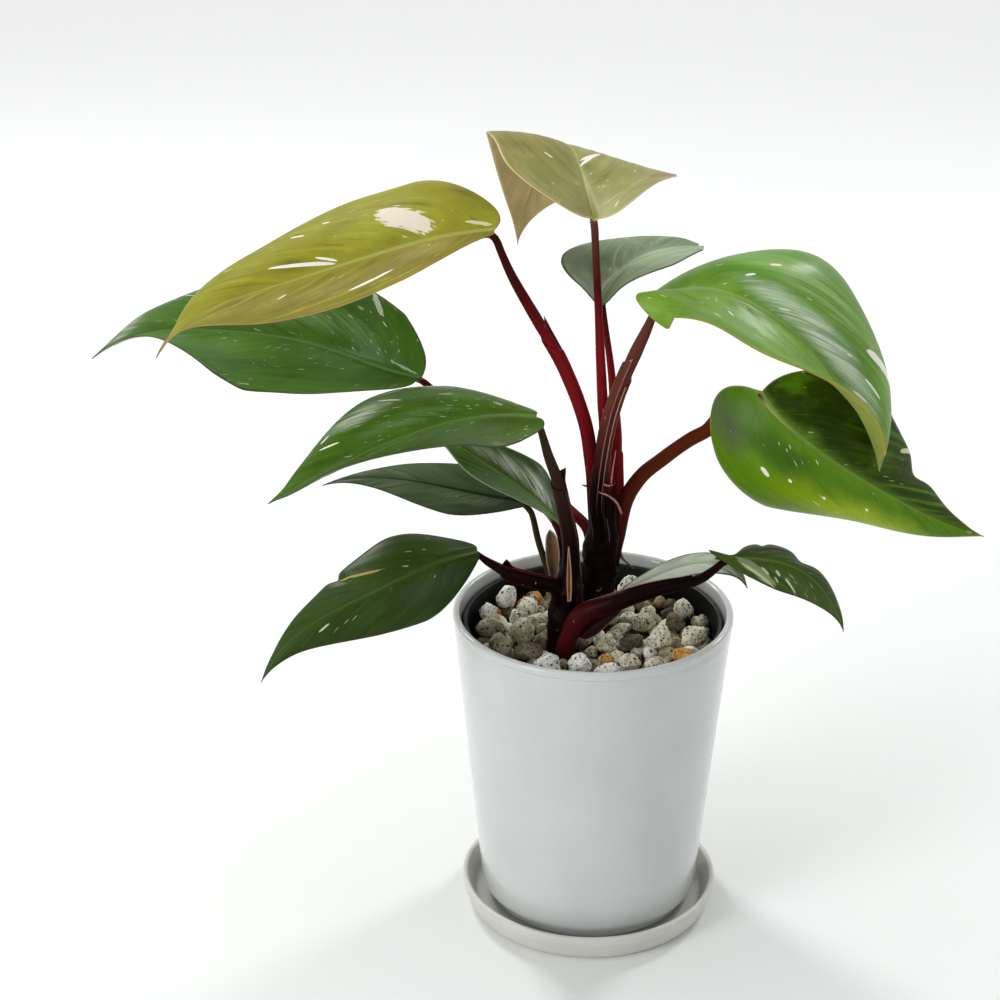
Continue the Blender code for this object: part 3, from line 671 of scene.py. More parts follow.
def frame_at(frames, u):
    place = min(max(u, 0.0), 1.0) * MIDRIB_STEPS
    i = min(int(place), MIDRIB_STEPS - 1)
    return [a.lerp(b, place - i) for a, b in zip(frames[i], frames[i + 1])]


def rounded_corner(leaf, u, s):
    """Moves a place near the two corners at the base so that they become round."""
    length, start = leaf.corner[0 if s > 0 else 1], 0.30
    if u >= length or abs(s) <= start:
        return u, s
    a, b = 1 - u / length, (abs(s) - start) / (1 - start)
    a, b = a * math.sqrt(1 - b * b / 2), b * math.sqrt(1 - a * a / 2)
    return length * (1 - a), math.copysign(start + (1 - start) * b, s)


def side_reach(leaf, u, s):
    """Length of the vein that starts at u on the side of s, with the tears in the margin."""
    side = 0 if s > 0 else 1
    x = min(u / leaf.widest, 1)
    rise = 0.4 * math.sqrt(x * (2 - x)) + 0.6 * x * x * (3 - 2 * x)
    fall = max((u - leaf.widest) / (1 - leaf.widest), 0)
    taper = leaf.blunt + (1 - leaf.blunt) * (1 - fall**leaf.full) ** 1.25
    share = (leaf.lobe[side] + (1 - leaf.lobe[side]) * rise) * taper
    reach = leaf.half_width * leaf.shares[side] * share
    reach *= 1 + leaf.flare[side] * max(1 - u / 0.3, 0) ** 2
    for place, torn_side, depth, width in leaf.nicks:
        if torn_side * s > 0:
            reach *= 1 - depth * hump(u, place, width)
    return reach


def blade_point(leaf, frames, u, s):
    """A point of the blade: u from base to tip, s from -1 (right margin) to 1 (left margin)."""
    side = 0 if s > 0 else 1
    middle, ahead, left, up = frame_at(frames, u)
    reach = side_reach(leaf, u, s)
    vein = math.radians(leaf.back[side] + (TIP_VEIN_ANGLE - leaf.back[side]) * (1 - (1 - u) ** 1.6))
    fold = math.radians(along(leaf.fold[side], u))
    curl = math.radians(along(leaf.curl[side], u)) or 1e-4
    out = reach / curl * (math.sin(fold + curl * abs(s)) - math.sin(fold))
    lift = reach / curl * (math.cos(fold) - math.cos(fold + curl * abs(s)))
    lobe = math.sin(math.pi * min(abs(s) * 1.05, 1) ** 0.7) ** 0.9 * max(1 - u / 0.22, 0) ** 2 * MM
    back = ahead * (leaf.swell[side] * lobe)
    hang = lobe * leaf.droop[side] + leaf.swell[side] * lobe * 0.15
    hang += leaf.ear[side] * MM * abs(s) ** 2 * max(1 - u / 0.045, 0)
    sideways = left if s > 0 else -left
    outward = math.cos(vein) * ahead + math.sin(vein) * sideways
    return middle + out * outward + lift * up - back - up * hang


def blade_relief(leaf, u, s):
    """Height of the upper side over the plain sheet: midrib groove, side veins and slow waves."""
    x, across = u * leaf.length, abs(s) * side_reach(leaf, u, s)
    groove = -0.50 * MM * hump(across, 0, 1.0 * MM) * (1 - 0.75 * u)
    shoulder = 0.28 * MM * hump(across, 3.0 * MM, 2.2 * MM) * (1 - u)
    start = x - across * (0.6 + 1.1 * ease(u, 0.0, 0.5))  # where the vein leaves the midrib
    wander = 0.4 * noise.noise(Vector((start * 60, leaf.seed, s)))
    phase = start / leaf.veins + (0.5 if s > 0 else 0.0) + wander
    open_field = ease(across, 0.8 * MM, 7 * MM) * (1 - ease(abs(s), 0.72, 0.98)) * (1 - ease(u, 0.80, 0.97))
    pads = leaf.quilt * 0.14 * MM * math.cos(math.tau * phase) * open_field
    line = -0.08 * MM * hump((phase + 0.5) % 1 - 0.5, 0.5, 0.08) * open_field
    slow = noise.noise(Vector((x * 22, across * (30 if s > 0 else -30), leaf.seed * 3.1)))
    edge = noise.noise(Vector((x * 45, leaf.seed * 1.7, 2 if s > 0 else 5)))
    waves = leaf.wave * (0.8 * MM * slow * ease(abs(s), 0.1, 0.9) + 0.8 * MM * edge * abs(s) ** 4)
    return groove + shoulder + pads + line + waves * (1 - ease(u, 0.85, 1.0))


def note_margin(bm, layer):
    """Writes each point's distance from the open edge."""
    margin = [edge for edge in bm.edges if edge.is_boundary]
    samples = 5
    tree = kdtree.KDTree(len(margin) * samples)
    for i, edge in enumerate(margin):
        for k in range(samples):
            tree.insert(edge.verts[0].co.lerp(edge.verts[1].co, k / (samples - 1)), samples * i + k)
    tree.balance()
    for vert in bm.verts:
        vert[layer] = tree.find(vert.co)[2]


def add_blade(name, leaf, finishes, slot, grid=BLADE_GRID):
    """A grid laid into the blade's shape, raised by its relief, and thickened by Solidify.

    Its flat map holds the blade spread out, one unit to 200 mm, and from_margin the distance to the margin.
    """
    columns, rows, thickness = grid
    frames = midrib_frames(leaf)
    bm = bmesh.new()
    flat = bm.loops.layers.uv.new("flat")
    from_margin = bm.verts.layers.float.new("from_margin")
    bmesh.ops.create_grid(bm, x_segments=columns, y_segments=rows, size=1)
    places = {}
    for vert in bm.verts:
        u = min(max((1 - math.cos(math.pi * (vert.co.y + 1) / 2)) / 2, 0), 1)
        u, s = rounded_corner(leaf, u, math.copysign(abs(vert.co.x) ** 1.4, vert.co.x))
        places[vert] = (u, s)
        vert.co = blade_point(leaf, frames, u, s)
    for face in bm.faces:
        for loop in face.loops:
            u, s = places[loop.vert]
            loop[flat].uv = (u * leaf.length * FLAT_SCALE, 0.5 + s * side_reach(leaf, u, s) * FLAT_SCALE)
    bm.normal_update()
    facing_up = sum(vert.normal.dot(frame_at(frames, u)[3]) for vert, (u, _) in places.items())
    side = 1 if facing_up > 0 else -1
    for vert, (u, s) in places.items():
        vert.co += vert.normal * (side * blade_relief(leaf, u, s))
    if side < 0:
        bmesh.ops.reverse_faces(bm, faces=bm.faces)
    bmesh.ops.remove_doubles(bm, verts=bm.verts, dist=WELD)
    note_margin(bm, from_margin)
    shell = thicken(add_piece(name, bm, finishes, slot), thickness)
    shell.material_offset = 1
    shell.material_offset_rim = 1


# ---- leaf finishes ------------------------------------------------------


def mark_mask(spot, start, end, half_width, fray):
    """A pale mark between two points of the flat blade, in mm, with pointed ends and a frayed edge."""
    finish = spot.finish
    run = Vector((*end, 0)) - Vector((*start, 0))
    way, reach = run.normalized(), run.length + 2 * half_width
    corner = Vector((*start, 0)) - way * half_width
    away = finish.vector("SUBTRACT", spot, tuple(corner))
    down = finish.vector("DOT_PRODUCT", away, tuple(way / reach), out=1)
    side = finish.vector("DOT_PRODUCT", away, (-way.y, way.x, 0), out=1)
    far = abs(down * 2.0 - 1.0) ** 3.0 + abs(side / half_width) ** 1.5
    return (fray + far).step(1.0, 0.93)


def leaf_places(finish, leaf):
    """(place in mm, x along the midrib, y to the left, distance from it, start of the vein on the midrib)."""
    spot = finish.flat_place()
    x, y, _ = finish.split(spot)
    out = abs(y)
    return spot, x, y, out, x - out * x.step(0, leaf.length * 500, 0.6, 1.7)


def vein_lines(leaf, start, y, width):
    """Thin lines along the side veins, which leave the midrib by turns."""
    phase = start / (leaf.veins * 1000) + y.step(-0.1, 0.1) * 0.5
    return abs(phase.finish.math("FRACT", phase) - 0.5).step(width, 0.0)


def upper_finish(name, look, leaf):
    """The upper side: mottled along the veins, with washes of painted sheen and shade and some tints of its
    own, veins, flecks, marks and a thin rim.
    """
    top = Finish(f"leaf_{name}_upper")
    spot, x, y, out, start = leaf_places(top, leaf)
    plain = top.join(x, y, leaf.seed)
    margin = top.value("from_margin") * 1000.0
    fibres = top.noise(top.join(start * 1.1, y * 0.11, leaf.seed), 1.0, 4, 0.62)
    bands = top.noise(top.join(start * 0.16, y * 0.05, leaf.seed + 3), 1.0, 2)
    clouds = top.noise(plain, 0.055, 3, 0.55)
    grain = top.noise(plain, 3.2, 2, 0.6)

    light, deep = shade(look.right, 1.45, 0.003), shade(look.left, 0.55)
    top.colour = top.mix(y.step(-0.4, 0.4), look.right, look.left)
    for pattern, low, high, share, colour in (
        (clouds, 0.50, 0.75, 0.55, light), (clouds, 0.50, 0.25, 0.55, deep), (bands, 0.52, 0.72, 0.50, light),
        (bands, 0.46, 0.28, 0.45, deep), (fibres, 0.54, 0.78, 0.40, light), (fibres, 0.46, 0.22, 0.40, deep),
        (grain, 0.60, 0.80, 0.15, light),
    ):
        top.paint(pattern.step(low, high, 0, share), colour)
    if look.zone:
        low, high, tint = look.zone
        top.paint(y.step(low - 5, low + 4) * y.step(high + 5, high - 4) * 0.75, tint)
    # Soft washes: painted sheen highlights and painted shade, and a few tints of the leaf's own.
    for middle, reach, tint, share, streaky in look.sheen_shade_and_tint_washes:
        away = top.vector("DIVIDE", top.vector("SUBTRACT", spot, (*middle, 0)), (*reach, 1))
        away = top.vector("LENGTH", away, out=1) + clouds * 0.8
        streaks = fibres.step(0.34, 0.60, 1 - streaky, 1) * bands.step(0.32, 0.52, 1 - streaky, 1)
        top.paint(away.step(1.35, 0.55, 0, share) * streaks, tint)

    vein = vein_lines(leaf, start, y, 0.035) * (margin.step(1.0, 9.0) * out.step(0.5, 5.0, 1.0, 0.7))
    top.paint(vein * 0.22, look.rib)
    top.paint(out.step(5.0, 0.5, 0, 0.40), blend(0.35, look.rib, 0.65, look.right))
    rib_half = x * (-look.rib_width / (leaf.length * 1150)) + look.rib_width
    top.paint((out - rib_half).step(0.25, -0.55) * 0.85, look.rib)

    clumps = top.noise(top.join(x, y, leaf.seed + 4), 0.05, 2).step(0.42, 0.66)
    flecks = []
    for scale, most, smallest, share in ((0.30, 0.20, 0.06, 1.2), (1.0, 0.24, 0.05, 0.9)):
        distance, pick = top.cells(top.join(start * scale, y * (scale * 0.38), scale), 1.0, flat=True)
        size = (grain - 0.5) * 0.16 + (pick[1] ** 4.0 * most + smallest)
        fleck = (distance - size).step(0.02, -0.02) * (pick[0] < clumps * (look.flecks * share))
        flecks.append(fleck * (pick[2] * 0.6 + 0.35))
    top.paint(top.math("MAXIMUM", *flecks) * out.step(1.2, 2.2), WHITE)

    fray = top.noise(top.join(start * 0.8, y * 0.10, 2), 1.0, 2, 0.7)
    _, steps = top.cells(top.join(start * 0.7, y * 0.30, 5), 1.0, flat=True)
    fray = (steps[0] * 0.5 + fray - 0.75) * 1.3
    for begin, end, half_width, ragged, *tint in look.marks:
        tint = tint[0] if tint else WHITE
        mask = mark_mask(spot, begin, end, half_width, fray * ragged)
        top.paint(mask, top.mix(grain.step(0.35, 0.70), shade(tint, 0.88), tint))
    top.paint((margin + fibres * 0.3).step(0.85, 0.35) * 0.8, look.rim)

    settings = {"feature": "DISTANCE_TO_EDGE", "voronoi_dimensions": "2D"}
    skin = top.read("TexVoronoi", {"Vector": plain, "Scale": 4.0}, settings)
    height = fibres * 0.9 + skin * 0.20 + grain * 0.15 + bands * 2.0 - vein * 0.5
    return top.seal(height, 0.10 * MM, 0.8, Coat_Weight=look.sheen, Coat_Roughness=0.28,
                    Roughness=fibres.step(0.25, 0.75, 0.36, 0.50), Specular_IOR_Level=look.gloss)


def under_finish(name, look, leaf):
    under = Finish(f"leaf_{name}_under")
    _, x, y, _, start = leaf_places(under, leaf)
    margin = under.value("from_margin") * 1000.0
    fibres = under.noise(under.join(start * 1.2, y * 0.12, leaf.seed), 1.0, 3, 0.6)
    clouds = under.noise(under.join(x, y, leaf.seed + 7), 0.08, 3)
    pale = shade(look.under, 1.25, 0.02)
    under.colour = under.mix(clouds.step(0.25, 0.80), pale, blend(0.86, look.under, 0.10, look.left))
    under.paint(fibres.step(0.4, 0.75, 0, 0.5), look.under)
    vein = vein_lines(leaf, start, y, 0.06) * margin.step(1.0, 8.0)
    under.paint(vein * 0.45, pale)
    under.paint(margin.step(0.8, 0.3, 0, 0.8), look.rim)
    return under.seal(fibres * 0.5 + vein, 0.14 * MM, 0.8, Specular_IOR_Level=0.06,
                      Roughness=fibres.step(0.2, 0.8, 0.50, 0.66))


def leaf_finishes(name, look, leaf):
    return upper_finish(name, look, leaf), under_finish(name, look, leaf)


# ---- stalks and stems ---------------------------------------------------

ROUTE_STEP = 1.4 * MM
RIB_END = 0.93  # share of the midrib at which its raised under side ends


@dataclass
class Stalk:
    """A leaf stalk. Its route runs from the leaf down to the stem, and its foot on into the stem.

    ligule is the share of the way from the leaf at which its sheath ends in a point, facing
    the direction in which the sheath is open, and gap half the angle of that opening.
    """

    route: tuple  # in mm, as are foot and radii
    foot: tuple
    radii: tuple
    ligule: float
    facing: tuple
    colours: tuple  # from the leaf to the stem
    edge: tuple = (0.26, 0.07, 0.06)  # colour of the sheath's margin
    gap: float = 13
    slant: float = 0.10  # how much lower the blunt side of the sheath ends
    tip: int = 1  # side of the ligule's point
    lip: float = 0.4  # mm by which the ligule stands off the stalk
    bare: float = 1.0  # thickness of the stalk above the ligule, as a share
    slot: str = "stalk_crimson"

    def __post_init__(self):
        self.route, self.foot, self.radii = metres((self.route, self.foot, self.radii))


CRIMSON, DARK_RED, DEEP = (0.175, 0.007, 0.009), (0.060, 0.005, 0.005), (0.014, 0.002, 0.002)
BLACK_RED = (0.005, 0.001, 0.001)
RUSSET, BROWN, OLIVE = (0.098, 0.018, 0.003), (0.110, 0.032, 0.022), (0.040, 0.030, 0.010)

STALKS = {
    "upper_left": Stalk(
        route=((-38, 5, 315), (-25, 6, 291), (-14, 7, 270), (-5, 9, 245), (-1.2, 10.5, 222),
        (0.2, 11, 204.5)), foot=((0.8, 10.5, 190), (0.4, 12, 170)), radii=(1.6, 2.9, 3.1, 3), ligule=0.26,
        facing=(1, 0.2, 0.6), colours=(DARK_RED, DARK_RED, CRIMSON, CRIMSON, CRIMSON, BLACK_RED,
        BLACK_RED),
    ),
    "crown": Stalk(
        route=((-1, 5, 322), (0.5, 6, 298), (1.5, 7, 280), (3, 8.5, 256), (4.5, 9.5, 230),
        (4.6, 9.5, 204.5)), foot=((4.6, 10, 190), (4, 11.2, 172)), radii=(1.6, 1.9, 2.6, 2.8),
        ligule=0.52, facing=(-0.3, -1, 0.1), colours=(BROWN, DARK_RED, CRIMSON, CRIMSON, CRIMSON,
        BLACK_RED, BLACK_RED), edge=(0.4, 0.16, 0.12),
    ),
    "back": Stalk(
        route=((5.5, 46, 275), (8, 39, 258), (10, 29, 237), (10.8, 20, 218), (10.8, 14.5, 204.5)),
        foot=((9.5, 14, 190), (6.5, 15, 170)), radii=(1.5, 1.9, 2.8, 3), ligule=0.5,
        facing=(-1, 0.2, 0.3), colours=(DARK_RED, CRIMSON, CRIMSON, CRIMSON, BLACK_RED, BLACK_RED),
    ),
    "upper_right": Stalk(
        route=((21.5, -4, 293), (17, -3, 282), (11, -1.5, 266), (6.5, 0.5, 250), (3, 2.5, 228),
        (1.2, 3, 204.2)), foot=((3, 5.8, 190), (2, 8.8, 168)), radii=(1.6, 3.3, 3.6, 3.5), ligule=0.2,
        facing=(0.25, -1, 0.3), colours=(BROWN, BROWN, BROWN, (0.08, 0.02, 0.012), BLACK_RED, BLACK_RED,
        BLACK_RED), edge=(0.48, 0.24, 0.2), gap=16, tip=-1, slot="stalk_russet",
    ),
    "right": Stalk(
        route=((70.8, 10, 256.5), (64, 16.5, 246), (53, 20.5, 235.5), (43.5, 20.5, 230), (32, 18, 222.2),
        (21.8, 15, 214.5), (14.8, 12.8, 203), (11.2, 11.6, 186)), foot=((8.8, 11.8, 172), (6, 13.5, 150)),
        radii=(1, 2.8, 3.3, 3.6), ligule=0.22, facing=(-0.4, 0.5, 1), colours=(RUSSET, RUSSET, RUSSET,
        RUSSET, (0.085, 0.014, 0.004), DARK_RED, BLACK_RED, BLACK_RED), edge=(0.3, 0.1, 0.06), slant=0.04,
        lip=2.2, bare=0.7, slot="stalk_russet",
    ),
    "outer_left": Stalk(
        route=((-74, 47.5, 244), (-58, 52.5, 227), (-40, 53.5, 209.5), (-23.5, 46.5, 198), (-12, 31, 192),
        (-3.3, 16.7, 188.5)), foot=((-0.5, 14.5, 180),), radii=(1.5, 2, 2.3, 2.4), ligule=0.5,
        facing=(0.4, 0.3, 1), colours=(DARK_RED, CRIMSON, CRIMSON, CRIMSON, DEEP),
    ),
    "middle_left": Stalk(
        route=((-24.5, -20, 250), (-21.5, -19, 239), (-17.5, -18, 227), (-14, -16.5, 211),
        (-11.2, -13.8, 196), (-10.6, -12, 183.9)), foot=((-11, -12.2, 168),), radii=(1.6, 3.1, 3.6, 4.2),
        ligule=0.3, facing=(1, -0.15, 0.35), colours=(OLIVE, (0.035, 0.018, 0.011), (0.02, 0.006, 0.004),
        BLACK_RED, BLACK_RED), edge=(0.19, 0.08, 0.05), gap=30, lip=1.8, bare=0.86, slot="stalk_russet",
    ),
    "inner_left": Stalk(
        route=((-15, 10.5, 185), (-14.5, 5, 179), (-14, -1, 173), (-13, -5.6, 167)),
        foot=((-12.5, -9, 158),), radii=(1.4, 1.5, 1.5, 1.5), ligule=0.5, facing=(0.3, -0.6, 1),
        colours=(DARK_RED, DEEP, DEEP, DEEP), slot="stalk_russet",
    ),
    "far_left": Stalk(
        route=((-27.8, 27, 189), (-25, 19, 179.5), (-21, 10, 170), (-17, 1, 161), (-14.3, -5.7, 154.8)),
        foot=((-13.5, -9, 146),), radii=(1.4, 1.6, 1.6, 1.6), ligule=0.6, facing=(0.5, -0.4, 1),
        colours=(OLIVE, OLIVE, OLIVE, BROWN, DEEP), slot="stalk_russet",
    ),
    "lower_left": Stalk(
        route=((-48.5, -24.5, 190), (-38, -22, 182.6), (-28, -18, 177.4), (-17.8, -14.2, 172.2)),
        foot=((-13.8, -13.5, 163), (-12.8, -13, 150)), radii=(1.1, 3, 3.6, 3.6), ligule=0.26,
        facing=(0.1, 0.05, 1), colours=(DEEP, DEEP, BLACK_RED, BLACK_RED, BLACK_RED),
        edge=(0.28, 0.04, 0.045), gap=24, slant=0.04, lip=1.6, bare=0.8, slot="stem_maroon",
    ),
    "lower_right": Stalk(
        route=((53.5, -20.5, 184), (45, -21.5, 179), (30, -23, 176.5), (18, -23.5, 172.8),
        (5, -22.5, 167.2), (-4.5, -20, 161.8)), foot=((-9.8, -18, 154), (-12.8, -16.5, 144),
        (-13.4, -16, 134)), radii=(1.6, 3, 4.2, 4.8), ligule=0.16, facing=(-0.1, 0.45, 1), colours=(DEEP,
        BLACK_RED, BLACK_RED, BLACK_RED, DEEP, (0.05, 0.005, 0.005), (0.075, 0.006, 0.008), DEEP),
        edge=(0.42, 0.2, 0.18), gap=20, slant=0.05, slot="stem_maroon",
    ),
    "small": Stalk(
        route=((14, -6.8, 165.5), (8, -8, 163), (1, -9.5, 161), (-5.9, -11.2, 160)),
        foot=((-9.5, -11.8, 158.5),), radii=(1.1, 1.2, 1.3, 1.3), ligule=0.5, facing=(0, 0, 1),
        colours=(OLIVE, DARK_RED, DEEP, DEEP), slot="stem_maroon",
    ),
}


def lay_round(bm, columns, rows, lay):
    """Makes a grid whose points lay(vert, x, y) places. Its wrap map holds the share of the route,
    which lay gives back, and the share of the way round."""
    wrap = bm.loops.layers.uv.new("wrap")
    bmesh.ops.create_grid(bm, x_segments=columns, y_segments=rows, size=1)
    places = {}
    for vert in bm.verts:
        x, y = vert.co.x, (vert.co.y + 1) / 2
        places[vert] = (lay(vert, x, y), (x + 1) / 2)
    for face in bm.faces:
        for loop in face.loops:
            loop[wrap].uv = places[loop.vert]


def add_tube(name, route, facing, radius, finish, slot, sides=22):
    """A closed tube along a route. radius(t, angle) is in metres, and angle 0 looks along facing."""
    frames = carried_frames(route, facing)
    rows = len(route) - 1

    def lay(vert, x, t):
        angle = math.pi * x
        point, face, across = frames[round(t * rows)]
        vert.co = point + (face * math.cos(angle) + across * math.sin(angle)) * radius(t, angle)
        return t

    bm = bmesh.new()
    lay_round(bm, sides, rows, lay)
    bmesh.ops.remove_doubles(bm, verts=bm.verts, dist=WELD)
    bmesh.ops.holes_fill(bm, edges=[edge for edge in bm.edges if edge.is_boundary], sides=0)
    bmesh.ops.recalc_face_normals(bm, faces=bm.faces)
    add_piece(name, bm, [finish], slot, sharp=60)


def wrap_streaks(finish, lengthways, round_it, layer):
    """(place, share of the route, streaks along it) on a piece with a wrap map."""
    along_it, around, _ = finish.split(finish.uv("wrap"))
    streaks = finish.noise(finish.join(along_it * lengthways, around * round_it, layer), 1.0, 3, 0.6)
    return finish.place(), along_it, streaks


def stalk_finish(name, colours, rib, share, edge=None):
    """Skin of a stalk or sheath. Its colours, given from the leaf down, take up the first share of the
    wrap map. A stalk then takes the colour of the midrib's under side, and a sheath has a pale edge.
    """
    skin = Finish(name)
    place, along_it, streaks = wrap_streaks(skin, 4.0, 22.0, 1.0)
    stops = [(share * i / (len(colours) - 1), c) for i, c in enumerate(reversed(colours))]
    if edge is None:
        stops += [(min(share + 0.02, 0.98), rib), (1.0, rib)]
    blotches = skin.noise(place, 160, 3, 0.6)
    skin.colour = skin.ramp((blotches - 0.5) * 0.06 + along_it, *stops)
    skin.paint(streaks.step(0.48, 0.26, 0, 0.65), skin.mix(0.70, skin.colour, (0.006, 0.002, 0.002)))
    skin.paint(streaks.step(0.55, 0.80, 0, 0.30), skin.mix(0.20, skin.colour, (0.40, 0.06, 0.04)))
    pore = skin.pores(skin.vector("MULTIPLY", place, (1, 1, 0.45)), 520, 0.22, 0.12, 0.05)
    skin.paint(pore * 0.6, (0.45, 0.24, 0.16))
    if edge:
        rim = skin.value("from_margin") + blotches * (0.3 * MM)
        skin.paint(rim.step(0.60 * MM, 0.35 * MM, 0, 0.8) * along_it.step(0.22, 0.45), edge)
    return skin.seal(streaks + pore * 0.5, 0.10 * MM, 0.7, Roughness=blotches.step(0.3, 0.7, 0.36, 0.50),
                     Coat_Weight=0.03, Coat_Roughness=0.22, Specular_IOR_Level=0.02)


def add_sheath(name, route, stalk, radius, finish):
    """The open sheath round the lower part of a stalk. One of its margins ends in a point, the ligule."""
    frames = carried_frames(route, stalk.facing)
    last = len(route) - 1
    wrap_angle = math.pi - math.radians(stalk.gap)
    bm = bmesh.new()
    from_margin = bm.verts.layers.float.new("from_margin")

    def lay(vert, x, y):
        off_tip = 1 - x * stalk.tip
        end = 1 - stalk.ligule - stalk.slant * (off_tip / 2) ** 0.8
        t = end * y
        low = min(int(t * last), last - 1)
        point, face, across = (a.lerp(b, t * last - low) for a, b in zip(frames[low], frames[low + 1]))
        angle = math.pi - x * wrap_angle
        r = radius(t) + 0.20 * MM * ease(y, 0.82, 1.0) * abs(x) ** 3
        r += stalk.lip * MM * ease(y, 0.90, 1.0) * ease(x * stalk.tip, 0.0, 1.0)
        r += 0.16 * MM * noise.noise(Vector((t * 14, x * 1.5, stalk.gap)))
        vert.co = point + (face * math.cos(angle) + across * math.sin(angle)) * r
        to_end = (1 - y) * end * last * ROUTE_STEP + off_tip * 1.5 * MM
        vert[from_margin] = min((1 - abs(x)) * wrap_angle * r, to_end)
        return t

    lay_round(bm, 26, 60, lay)
    bmesh.ops.recalc_face_normals(bm, faces=bm.faces)
    thicken(add_piece(name, bm, [finish], stalk.slot, sharp=60), 0.45 * MM)


def rib_radius(leaf, u):
    """Radius of the midrib's under side."""
    return (1.35 * (1 - u) ** 0.9 + 0.12) * MM * min(leaf.half_width / 0.04, 1.0) ** 0.4


def add_stalk(name, stalk):
    """The stalk from inside the stem to its leaf and on under the midrib, with its sheath."""
    leaf, look = LEAVES[name], LOOKS[name]
    frames = midrib_frames(leaf)
    own = [Vector(p) for p in reversed(stalk.route)]
    leaf_end = Vector(leaf.base) - frames[0][3] * 1.5 * MM
    low = even_route([*reversed(stalk.foot), *own, leaf_end], ROUTE_STEP)
    own_share = (length_of(own) + (low[-1] - own[-1]).length) / length_of(low)
    spine = []
    for k in range(1, 60):
        u = RIB_END * k / 59
        middle, _, _, rise = frame_at(frames, u)
        spine.append(middle - rise * (rib_radius(leaf, u) + 0.10 * MM))
    route = even_route(low[:-3] + [low[-2].lerp(spine[1], 0.3)] + spine[3:], ROUTE_STEP)
    share = len(low) / len(route)
    foot_radius = stalk.radii[-1] * 0.92

    def full(down):
        """Radius at a share of the way down from the leaf to the end of the foot."""
        if down > own_share:
            in_foot = (down - own_share) / (1 - own_share)
            return stalk.radii[-1] + (foot_radius - stalk.radii[-1]) * in_foot
        return along(stalk.radii, down / own_share)

    def radius(t, angle):
        if t > share:
            return rib_radius(leaf, (t - share) / (1 - share) * RIB_END)
        down = 1 - t / share
        bare, sheathed = 0.96 * stalk.bare, 0.84
        r = full(down) * (bare + (sheathed - bare) * ease(down, stalk.ligule - 0.02, stalk.ligule + 0.06))
        if down < 0.12:
            r += (max(stalk.radii[0], rib_radius(leaf, 0)) * 1.05 - r) * (1 - ease(down, 0, 0.12))
        groove = 0.14 * hump(angle, 0, 0.5) * ease(down, 0.02, 0.15)
        ridges = 0.02 * math.cos(6 * angle + 2 * noise.noise(Vector((t * 9, 0, leaf.seed))))
        return r * (1 - groove + ridges)

    rib = blend(0.6, look.under, 0.4, look.rib)
    skin = stalk_finish(f"stalk_{name}", stalk.colours, rib, share)
    add_tube(f"stalk_{name}", route, stalk.facing, radius, skin, stalk.slot)
    skin = stalk_finish(f"sheath_{name}", stalk.colours, rib, 1.0, stalk.edge)
    add_sheath(f"sheath_{name}", low, stalk, lambda t: full(1 - t) * 0.97, skin)


# Routes and radii of the stems.
STEMS = {
    "back_stem": (((-0.6, 16.5, 127.2), (1.2, 15.2, 152), (4.2, 11.5, 180), (5.8, 9.6, 206.5)),
                  (6.6, 7.2, 7.6, 5.8)),
    "front_stem": (((-14.8, -11.5, 127.2), (-14.6, -12, 150), (-12.8, -12, 166), (-10.8, -11.8, 185)),
                   (6.6, 6.4, 5.8, 4.2)),
}

# Small things on the stems: route, radius at its start and at its end, and colour.
PINK_EDGE, ROOT_BROWN, SEAM_PINK = (0.50, 0.22, 0.20), (0.13, 0.06, 0.035), (0.13, 0.06, 0.06)
TRIMMINGS = {
    "sheath_edge_round": (((1.8, 0.2, 213), (6.2, -0.2, 211.2), (10.2, 2.2, 206.6), (12.4, 5.8, 200)),
                          0.35, 0.6, PINK_EDGE),
    "sheath_edge_level": (((4, -1.6, 217.6), (6, -1.5, 216.8), (8, 0, 216.6)), 0.4, 0.2, PINK_EDGE),
    "sheath_edge_upright": (((7.4, 1.2, 217), (8, 1.4, 224), (9.2, 1.2, 233)), 0.4, 0.2, PINK_EDGE),
    "dry_stub": (((0, 7.5, 212.5), (-3, 6.2, 213.2), (-5.6, 5.5, 214.2)), 0.75, 0.3, DEEP),
    "air_root": (((9, 11, 183), (12.2, 11.2, 179), (14.2, 11.6, 174), (19.2, 13, 168.5)),
                 0.85, 0.35, ROOT_BROWN),
    "pale_seam": (((5.8, 3.8, 198), (7.2, 4, 188), (6, 5.8, 178), (3, 7.8, 166)), 0.22, 0.16, SEAM_PINK),
}


def stem_finish():
    skin = Finish("stem_skin")
    place, _, streaks = wrap_streaks(skin, 3.0, 30.0, 0.0)
    blotches = skin.noise(place, 120, 4, 0.6)
    skin.colour = skin.ramp(blotches, (0.30, (0.002, 0.0006, 0.0006)), (0.55, (0.006, 0.0012, 0.0012)),
                            (0.78, (0.022, 0.004, 0.004)))
    skin.paint(streaks.step(0.54, 0.80, 0, 0.4), (0.045, 0.010, 0.008))
    skin.paint(skin.pores(place, 420, 0.25, 0.12, 0.05, by=1) * 0.6, (0.16, 0.09, 0.06))
    return skin.seal(streaks + blotches * 1.5, 0.25 * MM, 0.8, Roughness=blotches.step(0.3, 0.7, 0.30, 0.55),
                     Coat_Weight=0.05, Coat_Roughness=0.25, Specular_IOR_Level=0.02)


